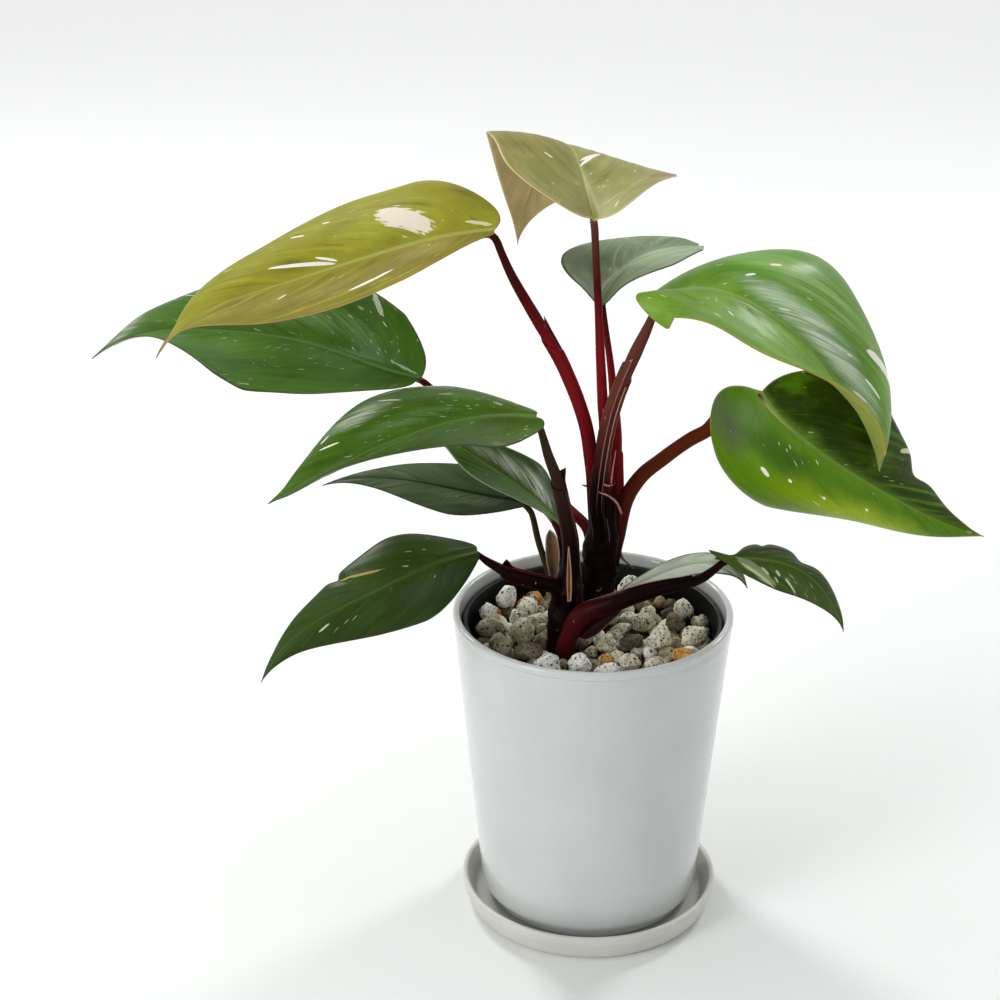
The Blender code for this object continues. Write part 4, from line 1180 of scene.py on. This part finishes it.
def add_stem(name, finish, seed):
    """A stem with the rings and low seams that old leaves left."""
    points, radii = metres(STEMS[name])
    rings = [0.10 + 0.21 * k + 0.03 * ((seed * (k + 3)) % 3) for k in range(4)]

    def radius(t, angle):
        r = along(radii, t)
        for k, ring in enumerate(rings):
            at = t + 0.05 * math.cos(angle + 2.1 * k + seed)
            r += 0.45 * MM * hump(at, ring, 0.016) * (1 if (k + seed) % 2 else 0.5)
            r += 0.6 * MM * ease(at, ring + 0.10, ring) * ease(at, ring - 0.12, ring)
        r *= 1 + 0.05 * math.cos(3 * angle + 4 * t + seed) + 0.02 * math.cos(11 * angle + 5 * t)
        return r * (1 + 0.12 * noise.noise(Vector((math.cos(angle), math.sin(angle), t * 6 + seed))))

    add_tube(name, even_route(points, 0.9 * MM), (0, -1, 0), radius, finish, "stem_maroon", sides=40)


def add_trimming(name, points, start, end, colour):
    points, start, end = metres((points, start, end))
    skin = Finish(name)
    patches = skin.noise(skin.place(), 500, 3, 0.6)
    skin.colour = skin.mix(patches.step(0.3, 0.7), shade(colour, 0.6), colour)

    def radius(t, angle):
        lumps = noise.noise(Vector((t * 9, angle, start * 9999)))
        return (start + (end - start) * t) * (1 + 0.25 * lumps)

    skin.seal(patches, 0.1 * MM, 0.7, Roughness=0.5)
    route = even_route(points, 0.5 * MM)
    add_tube(name, route, (0, -1, 0.2), radius, skin.material, "stem_maroon", sides=12)


# ---- bracts and bud scales ----------------------------------------------

BRACTS = {
    "left": Leaf(
        (-17.8, 2, 166), 26, 4.6, heading=(120, 120, 120), pitch=(78, 80, 80), roll=(-20, -20, -20),
        fold=(15, 15, 10), curl=(30, 35, 30), back=90, full=3.2, widest=0.55, swell=(0, 0), wave=0.5,
        veins=3, seed=21,
    ),
    "front": Leaf(
        (-11.6, -21, 168), 26.5, 1.6, heading=(100, 100, 100), pitch=(80, 84, 88), roll=(0, 0, 0),
        fold=(20, 20, 20), curl=(30, 30, 30), lobe=0.5, back=90, full=2.4, widest=0.4, swell=(0, 0),
        wave=0.3, veins=3, seed=22,
    ),
}

# Bud scales on the stems, dark with a pale edge.
SCALES = {
    "bud_scale_front": Leaf(
        (-5.2, -14, 150), 36, 4.6, heading=(120, 100, 90), pitch=(74, 80, 84), roll=(0, 0, 0),
        fold=(-20, -20, -20), curl=(-60, -60, -40), lobe=0.7, back=90, widest=0.2, swell=(0, 0), wave=0.2,
        veins=3, seed=23,
    ),
    "bud_scale_right": Leaf(
        (-8, -17.8, 149.5), 27, 5.6, heading=(356, 352, 350), pitch=(44, 32, 20), roll=(50, 55, 60),
        fold=(-10, -10, -10), curl=(-40, -40, -30), lobe=0.7, back=90, widest=0.25, swell=(0, 0),
        wave=0.2, veins=3, seed=25,
    ),
    "bud_scale_back": Leaf(
        (2, 6.2, 160), 27, 3, heading=(60, 70, 80), pitch=(76, 80, 84), roll=(0, 0, 0),
        fold=(-20, -20, -20), curl=(-60, -60, -40), lobe=0.7, back=90, widest=0.2, swell=(0, 0), wave=0.2,
        veins=3, seed=24,
    ),
}
SCALE_LOOK = Look(
    left=(0.016, 0.004, 0.004), right=(0.02, 0.005, 0.005), rim=(0.38, 0.22, 0.2),
    rib=(0.05, 0.012, 0.01), under=(0.016, 0.004, 0.004), slot="stem_maroon", flecks=0.02, rib_width=0.4,
)
# Colours of each bract and its edge.
BRACT_COLOURS = {
    "left": ((0.19, 0.105, 0.040), (0.42, 0.33, 0.24)),
    "front": ((0.22, 0.095, 0.030), (0.36, 0.22, 0.12)),
}


def papery_finish(name, colour, edge):
    skin = Finish(name)
    x, y, _ = skin.split(skin.flat_place())
    fibres = skin.noise(skin.join(x * 0.25, y * 3.0, 1.0), 1.0, 3, 0.6)
    spots = skin.noise(skin.place(), 420, 3, 0.6)
    skin.colour = skin.mix(fibres.step(0.3, 0.7), shade(colour, 0.55), shade(colour, 1.4))
    skin.paint(spots.step(0.52, 0.72, 0, 0.7), (0.07, 0.035, 0.02))
    skin.paint(skin.value("from_margin").step(0.7 * MM, 0.3 * MM, 0, 0.9), edge)
    return skin.seal(fibres, 0.15 * MM, 0.9, Roughness=fibres.step(0.2, 0.8, 0.55, 0.8))


# ---- pumice and soil ----------------------------------------------------

# How pale each loose stone is, from 0 (dark olive brown) to 1 (white), and which are partly amber.
STONE_TONES = (0.95, 0.90, 0.48, 0.62, 0.90, 0.60, 0.50, 0.28, 0.98, 0.98, 0.95, 0.22, 0.62, 0.72, 0.60, 0.10,
               0.74, 0.58, 0.25, 0.82, 0.64, 0.70, 0.86, 0.60)
AMBER_STONES = (22,)
BED_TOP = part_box("pumice_bed")[1].z


def pumice_finish():
    """Speckled pumice, whose tone and amber share come with each stone."""
    skin = Finish("pumice")
    place = skin.place()
    blotches = skin.noise(place, 190, 4, 0.65)
    coarse = skin.noise(place, 900, 4, 0.7)
    pale = skin.math("MULTIPLY_ADD", blotches - 0.5, 0.85, skin.value("tone"), clamp=True)
    skin.colour = skin.ramp(pale, (0.0, (0.050, 0.036, 0.018)), (0.25, (0.18, 0.135, 0.080)),
                            (0.5, (0.48, 0.42, 0.28)), (0.75, (0.80, 0.77, 0.62)), (1.0, (0.97, 0.96, 0.92)))
    gold = skin.ramp(blotches, (0.40, (0.40, 0.12, 0.02)), (0.55, (0.66, 0.30, 0.06)),
                     (0.70, (0.75, 0.52, 0.22)))
    skin.paint(skin.value("amber") * blotches.step(0.40, 0.50), gold)
    pits = []
    for scale, size, share in ((400, 0.27, 0.6), (820, 0.30, 0.5)):
        distance, pick = skin.cells(place, scale)
        edge = (coarse - 0.5) * 0.6 + distance - (pick[1] * (size * 0.9) + size * 0.55)
        pits.append(edge.step(0.0, -0.10) * (pick[0] < share))
    pit = skin.math("MAXIMUM", *pits)
    skin.paint(pit * 0.9, (0.030, 0.025, 0.020))
    skin.paint(coarse.step(0.55, 0.66, 0, 0.72), (0.085, 0.072, 0.050))
    skin.paint(coarse.step(0.42, 0.25, 0, 0.35), (0.86, 0.85, 0.80))
    return skin.seal(coarse * 0.8 - pit * 1.2, 0.45 * MM, 0.9, Roughness=coarse.step(0.3, 0.7, 0.85, 0.97),
                     Specular_IOR_Level=0.3)


def chip(verts, rng, cuts):
    """Grinds flats on a lump of stone."""
    centre = sum((vert.co for vert in verts), Vector()) / len(verts)
    for _ in range(cuts):
        way = Vector((rng.uniform(-1, 1), rng.uniform(-1, 1), rng.uniform(-0.4, 1))).normalized()
        reach = max((vert.co - centre).dot(way) for vert in verts)
        limit = reach * rng.uniform(0.62, 0.88)
        for vert in verts:
            over = (vert.co - centre).dot(way) - limit
            if over > 0:
                vert.co -= way * over * 0.92


def roughen(verts, seed, depth):
    """Pushes a stone's points in and out: dents, grit, and the round pits of old gas bubbles."""
    for vert in verts:
        p = vert.co * 1000 + Vector((seed * 7.3, seed * 3.1, 0))
        push = 0.50 * noise.noise(p * 0.35) + 0.35 * noise.noise(p * 0.9) + 0.30 * noise.noise(p * 2.1)
        near = noise.voronoi(p * 0.85)[0][0]
        push -= 0.80 * (1 - ease(near, 0.08, 0.36))
        vert.co += vert.normal * (depth * push)


def soften(bm, factor):
    """Makes a mesh finer and rounds it."""
    bmesh.ops.subdivide_edges(bm, edges=bm.edges[:], cuts=1, use_grid_fill=True)
    bmesh.ops.smooth_vert(bm, verts=bm.verts, factor=factor, use_axis_x=True, use_axis_y=True,
                          use_axis_z=True)


def tint(bm, tone, amber, verts=None):
    """Gives points the tone and the amber share that the pumice finish reads."""
    tones = bm.verts.layers.float.get("tone") or bm.verts.layers.float.new("tone")
    ambers = bm.verts.layers.float.get("amber") or bm.verts.layers.float.new("amber")
    for vert in verts or bm.verts:
        vert[tones], vert[ambers] = tone, amber


def add_stones(finish):
    """The loose stones: the CAD stones a little larger, chipped, rounded and pitted."""
    for i, tone in enumerate(STONE_TONES):
        name = f"pumice_stone_{i + 1:02d}"
        bm = bmesh.new()
        bm.from_mesh(NODES[name].data)
        bmesh.ops.remove_doubles(bm, verts=bm.verts, dist=WELD)
        centre = sum((vert.co for vert in bm.verts), Vector()) / len(bm.verts)
        bmesh.ops.scale(bm, vec=(1.16, 1.16, 1.16), verts=bm.verts, space=Matrix.Translation(-centre))
        soften(bm, 0.5)
        chip(bm.verts, random.Random(40 + i), 6)
        soften(bm, 0.35)
        soften(bm, 0.35)
        bm.normal_update()
        roughen(bm.verts, i, 0.98 * MM)
        tint(bm, tone, 1.0 if i + 1 in AMBER_STONES else 0.0)
        add_piece(name, bm, [finish], "pumice")


# Grains with a place of their own: (x, y, radius) in mm, tone and amber share.
SET_GRAINS = (
    ((-31, 32, 5.2), 0.7, 1.0), ((-45, 25, 3.6), 0.6, 1.0), ((12, 38, 4.5), 0.6, 0.6),
    ((51, 15, 4.4), 0.6, 0.0), ((34, -26, 4.2), 0.5, 0.4), ((44, -16, 4.4), 0.7, 0.0),
)
# Layers of scattered grains: whether it is the top one, radius, spacing, fineness and tries.
GRAIN_LAYERS = ((False, 5.6 * MM, 8.8 * MM, 2, 900), (True, 5.0 * MM, 8.0 * MM, 3, 5200))
GRAIN_TONES = (0.12, 0.3, 0.42, 0.55, 0.62, 0.7, 0.8, 0.9, 0.95)


def add_grain(bm, rng, spot, height, r, detail, tone, amber):
    """One chipped and dented grain of pumice."""
    size = (r * rng.uniform(0.85, 1.25), r * rng.uniform(0.80, 1.0), r * rng.uniform(0.7, 0.95), 1)
    turn = Matrix.Rotation(rng.uniform(0, math.tau), 4, "Z") @ Matrix.Rotation(rng.uniform(-0.6, 0.6), 4, "X")
    place = Matrix.Translation((spot.x, spot.y, height)) @ turn @ Matrix.Diagonal(size)
    verts = bmesh.ops.create_icosphere(bm, subdivisions=detail, radius=1, matrix=place)["verts"]
    chip(verts, rng, 5)
    for vert in verts:
        p = vert.co * 1000
        out = (vert.co - place.translation).normalized()
        vert.co += out * (r * (0.14 * noise.noise(p * 0.45) + 0.12 * noise.noise(p * 1.2)))
    tint(bm, tone, amber, verts)


def add_grains(finish):
    """The bed of smaller pumice: a lower layer darkened as painted shade, and a closer one on it round the
    stones and stems.
    """
    rng = random.Random(5)
    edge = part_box("pumice_bed")[1].x - 1 * MM
    stems = [(Vector((-0.5, 15.8)) * MM, 7.2 * MM), (Vector((-12.8, -11.8)) * MM, 6.6 * MM)]
    stones = []
    for i in range(len(STONE_TONES)):
        low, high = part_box(f"pumice_stone_{i + 1:02d}")
        stones.append((((low + high) / 2).to_2d(), min(high.x - low.x, high.y - low.y) / 2))
    bm = bmesh.new()
    bm.verts.layers.float.new("tone")
    bm.verts.layers.float.new("amber")
    set_grains = []
    for grain, tone, amber in SET_GRAINS:
        x, y, r = metres(grain)
        set_grains.append((Vector((x, y)), r))
        add_grain(bm, rng, Vector((x, y)), BED_TOP - 0.2 * MM, r, 4, tone, amber)
    for top, size, apart, detail, tries in GRAIN_LAYERS:
        laid = [(spot, r / size) for spot, r in set_grains] if top else []
        for _ in range(tries):
            angle, out = rng.uniform(0, math.tau), edge * math.sqrt(rng.random())
            scale = rng.uniform(0.62, 1.22)
            r = size * scale
            spot = Vector((out * math.cos(angle), out * math.sin(angle)))
            if out + 0.9 * r > edge or any((spot - s).length < c + 0.7 * r for s, c in stems):
                continue
            if any((spot - s).length < apart * 0.5 * (scale + k) for s, k in laid):
                continue
            if top and any((spot - s).length < 0.60 * w + 0.25 * r for s, w in stones):
                continue
            laid.append((spot, scale))
            height = BED_TOP - 1.4 * MM + rng.uniform(-1, 1) * MM if top else BED_TOP - 7.2 * MM
            # The lower layer's dark tones are painted shade in the gaps between the top grains.
            tone = rng.choice(GRAIN_TONES) if top else rng.uniform(0.0, 0.25)
            amber = 1.0 if rng.random() < 0.02 else 0.0
            add_grain(bm, rng, spot, height, r, detail, tone, amber)
    add_piece("pumice_bed", bm, [finish], "pumice")


def soil_finish():
    skin = Finish("potting_soil")
    place = skin.place()
    inputs = {"Vector": place, "Scale": 380, "Smoothness": 0.4}
    crumbs = skin.read("TexVoronoi", inputs, {"feature": "SMOOTH_F1"})
    fine = skin.noise(place, 700, 5, 0.7)
    skin.colour = skin.ramp(fine, (0.3, (0.010, 0.007, 0.005)), (0.55, (0.045, 0.028, 0.018)),
                            (0.8, (0.12, 0.08, 0.05)))
    skin.paint(crumbs.step(0.45, 0.15, 0, 0.6), (0.020, 0.013, 0.009))
    return skin.seal(crumbs + fine, 0.8 * MM, 1.0, Roughness=0.95)


# ---- pots and saucer ----------------------------------------------------


def glaze_finish():
    """Cool grey glaze: faint clouding, a little orange peel and a few pinholes under a clear coat."""
    skin = Finish("pot_glaze")
    place = skin.place()
    clouds = skin.noise(place, 26, 3)
    peel = skin.noise(place, 260)
    dust = skin.noise(place, 1500)
    pin = skin.pores(place, 120, 0.045, 0.02, 0.04)
    skin.colour = skin.mix(clouds.step(0.3, 0.7), (0.520, 0.540, 0.530), (0.555, 0.575, 0.565))
    skin.paint(dust.step(0.62, 0.80, 0, 0.10), (0.40, 0.40, 0.38))
    skin.paint(pin * 0.6, (0.22, 0.20, 0.18))
    return skin.seal(peel * 0.5 - pin, 0.05 * MM, 0.5, Roughness=clouds.step(0.3, 0.7, 0.30, 0.38),
                     Coat_Weight=0.9, Coat_Roughness=0.04, Specular_IOR_Level=0.25)


def saucer_finish():
    skin = Finish("saucer_glaze")
    place = skin.place()
    clouds = skin.noise(place, 30, 3)
    grit = skin.noise(place, 900, 3, 0.6)
    skin.colour = skin.mix(clouds.step(0.3, 0.7), (0.545, 0.545, 0.500), (0.590, 0.590, 0.545))
    skin.paint(grit.step(0.60, 0.80, 0, 0.16), (0.38, 0.36, 0.31))
    return skin.seal(grit, 0.05 * MM, 0.5, Roughness=grit.step(0.3, 0.7, 0.38, 0.52),
                     Coat_Weight=0.15, Coat_Roughness=0.3)


def plastic_finish():
    skin = Finish("black_plastic")
    place = skin.place()
    grain = skin.noise(place, 1100, 2, 0.6)
    dust = skin.noise(place, 70, 4, 0.65)
    scuffs = skin.noise(skin.vector("MULTIPLY", place, (1, 1, 9)), 60, 3, 0.6)
    skin.colour = skin.mix(dust.step(0.50, 0.80, 0, 0.45), (0.006, 0.006, 0.007), (0.035, 0.035, 0.033))
    return skin.seal(grain + scuffs, 0.08 * MM, 0.6, Roughness=dust.step(0.35, 0.7, 0.36, 0.62),
                     Specular_IOR_Level=0.18)


def box_in_mm(name):
    return [corner * 1000 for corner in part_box(name)]


def add_pot_and_saucer():
    """Both outlines, in mm, run from the middle of the floor up the inside and down the outside."""
    _, high = box_in_mm("saucer")
    rim, height, foot, wall, floor = high.x, high.z, 57.2, 2.4, 4.0
    add_turned("saucer", (
        (0, floor, 0), (47.5, floor, 0.8), (48.7, floor + 0.3, 0.6), (foot - wall, floor + 0.3, 2.2),
        (rim - wall, height, 1.4), (rim, height, 1.4), (rim - 0.4, height - 4, 2), (foot + 0.8, 1.6, 1.6),
        (foot - 0.6, 0, 0.9), (52.5, 0, 0.6), (51.9, 0.6, 0.4), (0, 0.6, 0),
    ), saucer_finish(), "saucer_glaze", 160)

    low, high = box_in_mm("glazed_pot")
    rim, top, foot, wall, heel, neck = high.x, high.z, low.z, 3.6, 51.2, 64.3
    add_turned("glazed_pot", (
        (7.5, foot + 5.5, 0), (heel - wall - 4, foot + 5.5, 4), (heel - wall, foot + 10, 4),
        (neck - wall, top - 7.5, 2), (rim - wall, top - 1.8, 2), (rim - wall + 0.6, top, 1.4),
        (rim, top, 1.5), (rim, top - 3.2, 0.7), (neck - 0.3, top - 4.1, 0.4), (neck, top - 7.5, 3),
        (heel + 0.3, foot + 8, 6.5), (heel - 4.5, foot + 0.3, 4), (heel - 8, foot, 1),
        (heel - 11.2, foot, 0.8), (heel - 12, foot + 1.2, 0.6), (7.5, foot + 1.2, 0), (7.5, foot + 5.5, 0),
    ), glaze_finish(), "pot_glaze", 176)


def add_nursery_pot():
    """The thin black pot inside: a lip, a step in the wall below it, and holes cut through its floor."""
    low, high = box_in_mm("nursery_pot")
    lip, top, foot = high.x, high.z, low.z
    outer, base, wall = lip - 0.9, 42.5, 1.0
    pot = add_turned("nursery_pot", (
        (5, foot + wall, 0), (base - wall - 2, foot + wall, 1), (base - wall, foot + 4, 3),
        (outer - wall - 1.2, top - 14, 1), (outer - wall - 0.4, top - 13.2, 1),
        (outer - wall, top - 0.6, 0.6), (lip, top, 0.5), (lip, top - 2 * wall, 0.4),
        (outer, top - 2 * wall, 0.3), (outer - 1.2, top - 15, 2), (base, foot + 3, 3), (base - 4, foot, 2),
        (5, foot, 0), (5, foot + wall, 0),
    ), plastic_finish(), "black_plastic", 120)
    bm = bmesh.new()
    out, hole = 0.65 * base * MM, 5 * MM
    for i in range(6):
        angle = math.tau * i / 6
        place = Matrix.Translation((out * math.cos(angle), out * math.sin(angle), foot * MM))
        bmesh.ops.create_cone(bm, cap_ends=True, segments=24, radius1=hole, radius2=hole, depth=2 * hole,
                              matrix=place)
    cutter = place_object("hole_cutters", bm)
    holes = pot.modifiers.new("Drain holes", "BOOLEAN")
    holes.operation = "DIFFERENCE"
    holes.object = cutter
    cut = bpy.data.meshes.new_from_object(pot.evaluated_get(bpy.context.evaluated_depsgraph_get()))
    pot.modifiers.clear()
    pot.data = cut
    bpy.data.objects.remove(cutter)


# ---- studio -------------------------------------------------------------


def add_light(name, place, target, size, energy):
    data = bpy.data.lights.new(name, "AREA")
    data.shape = "RECTANGLE"
    data.size, data.size_y = size
    data.energy = energy
    light = bpy.data.objects.new(name, data)
    light.location = place
    light.rotation_euler = (Vector(target) - Vector(place)).to_track_quat("-Z", "Y").to_euler()
    bpy.context.scene.collection.objects.link(light)


def add_table():
    """A pale table that rises into a wall all round and glows a little far out."""
    table = Finish("pale_table")
    spread = table.noise(table.place(), 3)
    x, y, _ = table.split(table.place())
    far = table.math("SQRT", x * x + y * y)
    table.colour = table.mix(spread, (0.80, 0.81, 0.80), (0.83, 0.84, 0.83))
    table.dress(Base_Color=table.colour, Roughness=0.6, Emission_Color=(1, 1, 1),
                Emission_Strength=far.step(0.5, 2.4, 0.0, 0.36))
    outline = rounded_outline(((0, 0, 0), (3.4, 0, 1.2), (4.2, 2.6, 0)), 10)
    sweep = place_object("studio_sweep", spun(outline, 64))
    sweep.data.shade_smooth()
    sweep.data.materials.append(table.material)


def add_studio():
    scene = bpy.context.scene
    world = bpy.data.worlds.new("pale_studio")
    world.use_nodes = True
    background = world.node_tree.nodes["Background"]
    background.inputs["Color"].default_value = (0.97, 0.98, 1.0, 1)
    background.inputs["Strength"].default_value = 0.27
    scene.world = world
    scene.view_settings.view_transform = "Standard"
    add_table()

    add_light("back_left_window", (-0.62, 1.00, 1.15), (0, 0, 0.12), (0.30, 0.5), 10)
    add_light("back_right_window", (0.80, 0.90, 1.10), (0, 0, 0.12), (0.25, 0.4), 7)
    add_light("ceiling", (-0.3, -0.1, 2.0), (0, 0, 0), (1.4, 1.4), 9)
    add_light("front_left_room", (-1.4, -1.1, 0.9), (0, 0, 0.15), (0.7, 1.1), 15)

    data = bpy.data.cameras.new("camera")
    data.lens, data.sensor_width = 86.4, 36
    data.clip_start = 0.01
    camera = bpy.data.objects.new("camera", data)
    camera.location = (-0.04297, -0.9952, 0.6512)
    camera.rotation_euler = (math.radians(90 - 23.95), 0, 0)
    scene.collection.objects.link(camera)
    scene.camera = camera


# ---- the whole plant ----------------------------------------------------


def build():
    add_studio()
    add_pot_and_saucer()
    add_nursery_pot()
    NODES["root_ball"].data.materials.clear()
    NODES["root_ball"].data.materials.append(soil_finish())
    pumice = pumice_finish()
    add_stones(pumice)
    add_grains(pumice)
    skin = stem_finish()
    add_stem("back_stem", skin, 1)
    add_stem("front_stem", skin, 2)
    for name, leaf in LEAVES.items():
        look = LOOKS[name]
        add_blade(f"blade_{name}", leaf, leaf_finishes(name, look, leaf), look.slot)
        add_stalk(name, STALKS[name])
    for name, trimming in TRIMMINGS.items():
        add_trimming(name, *trimming)
    for name, scale in SCALES.items():
        add_blade(name, scale, leaf_finishes(name, SCALE_LOOK, scale), SCALE_LOOK.slot, SCALE_GRID)
    for name, bract in BRACTS.items():
        paper = papery_finish(f"papery_{name}", *BRACT_COLOURS[name])
        add_blade(f"bract_{name}", bract, (paper, paper), "papery_bract", SCALE_GRID)


build()
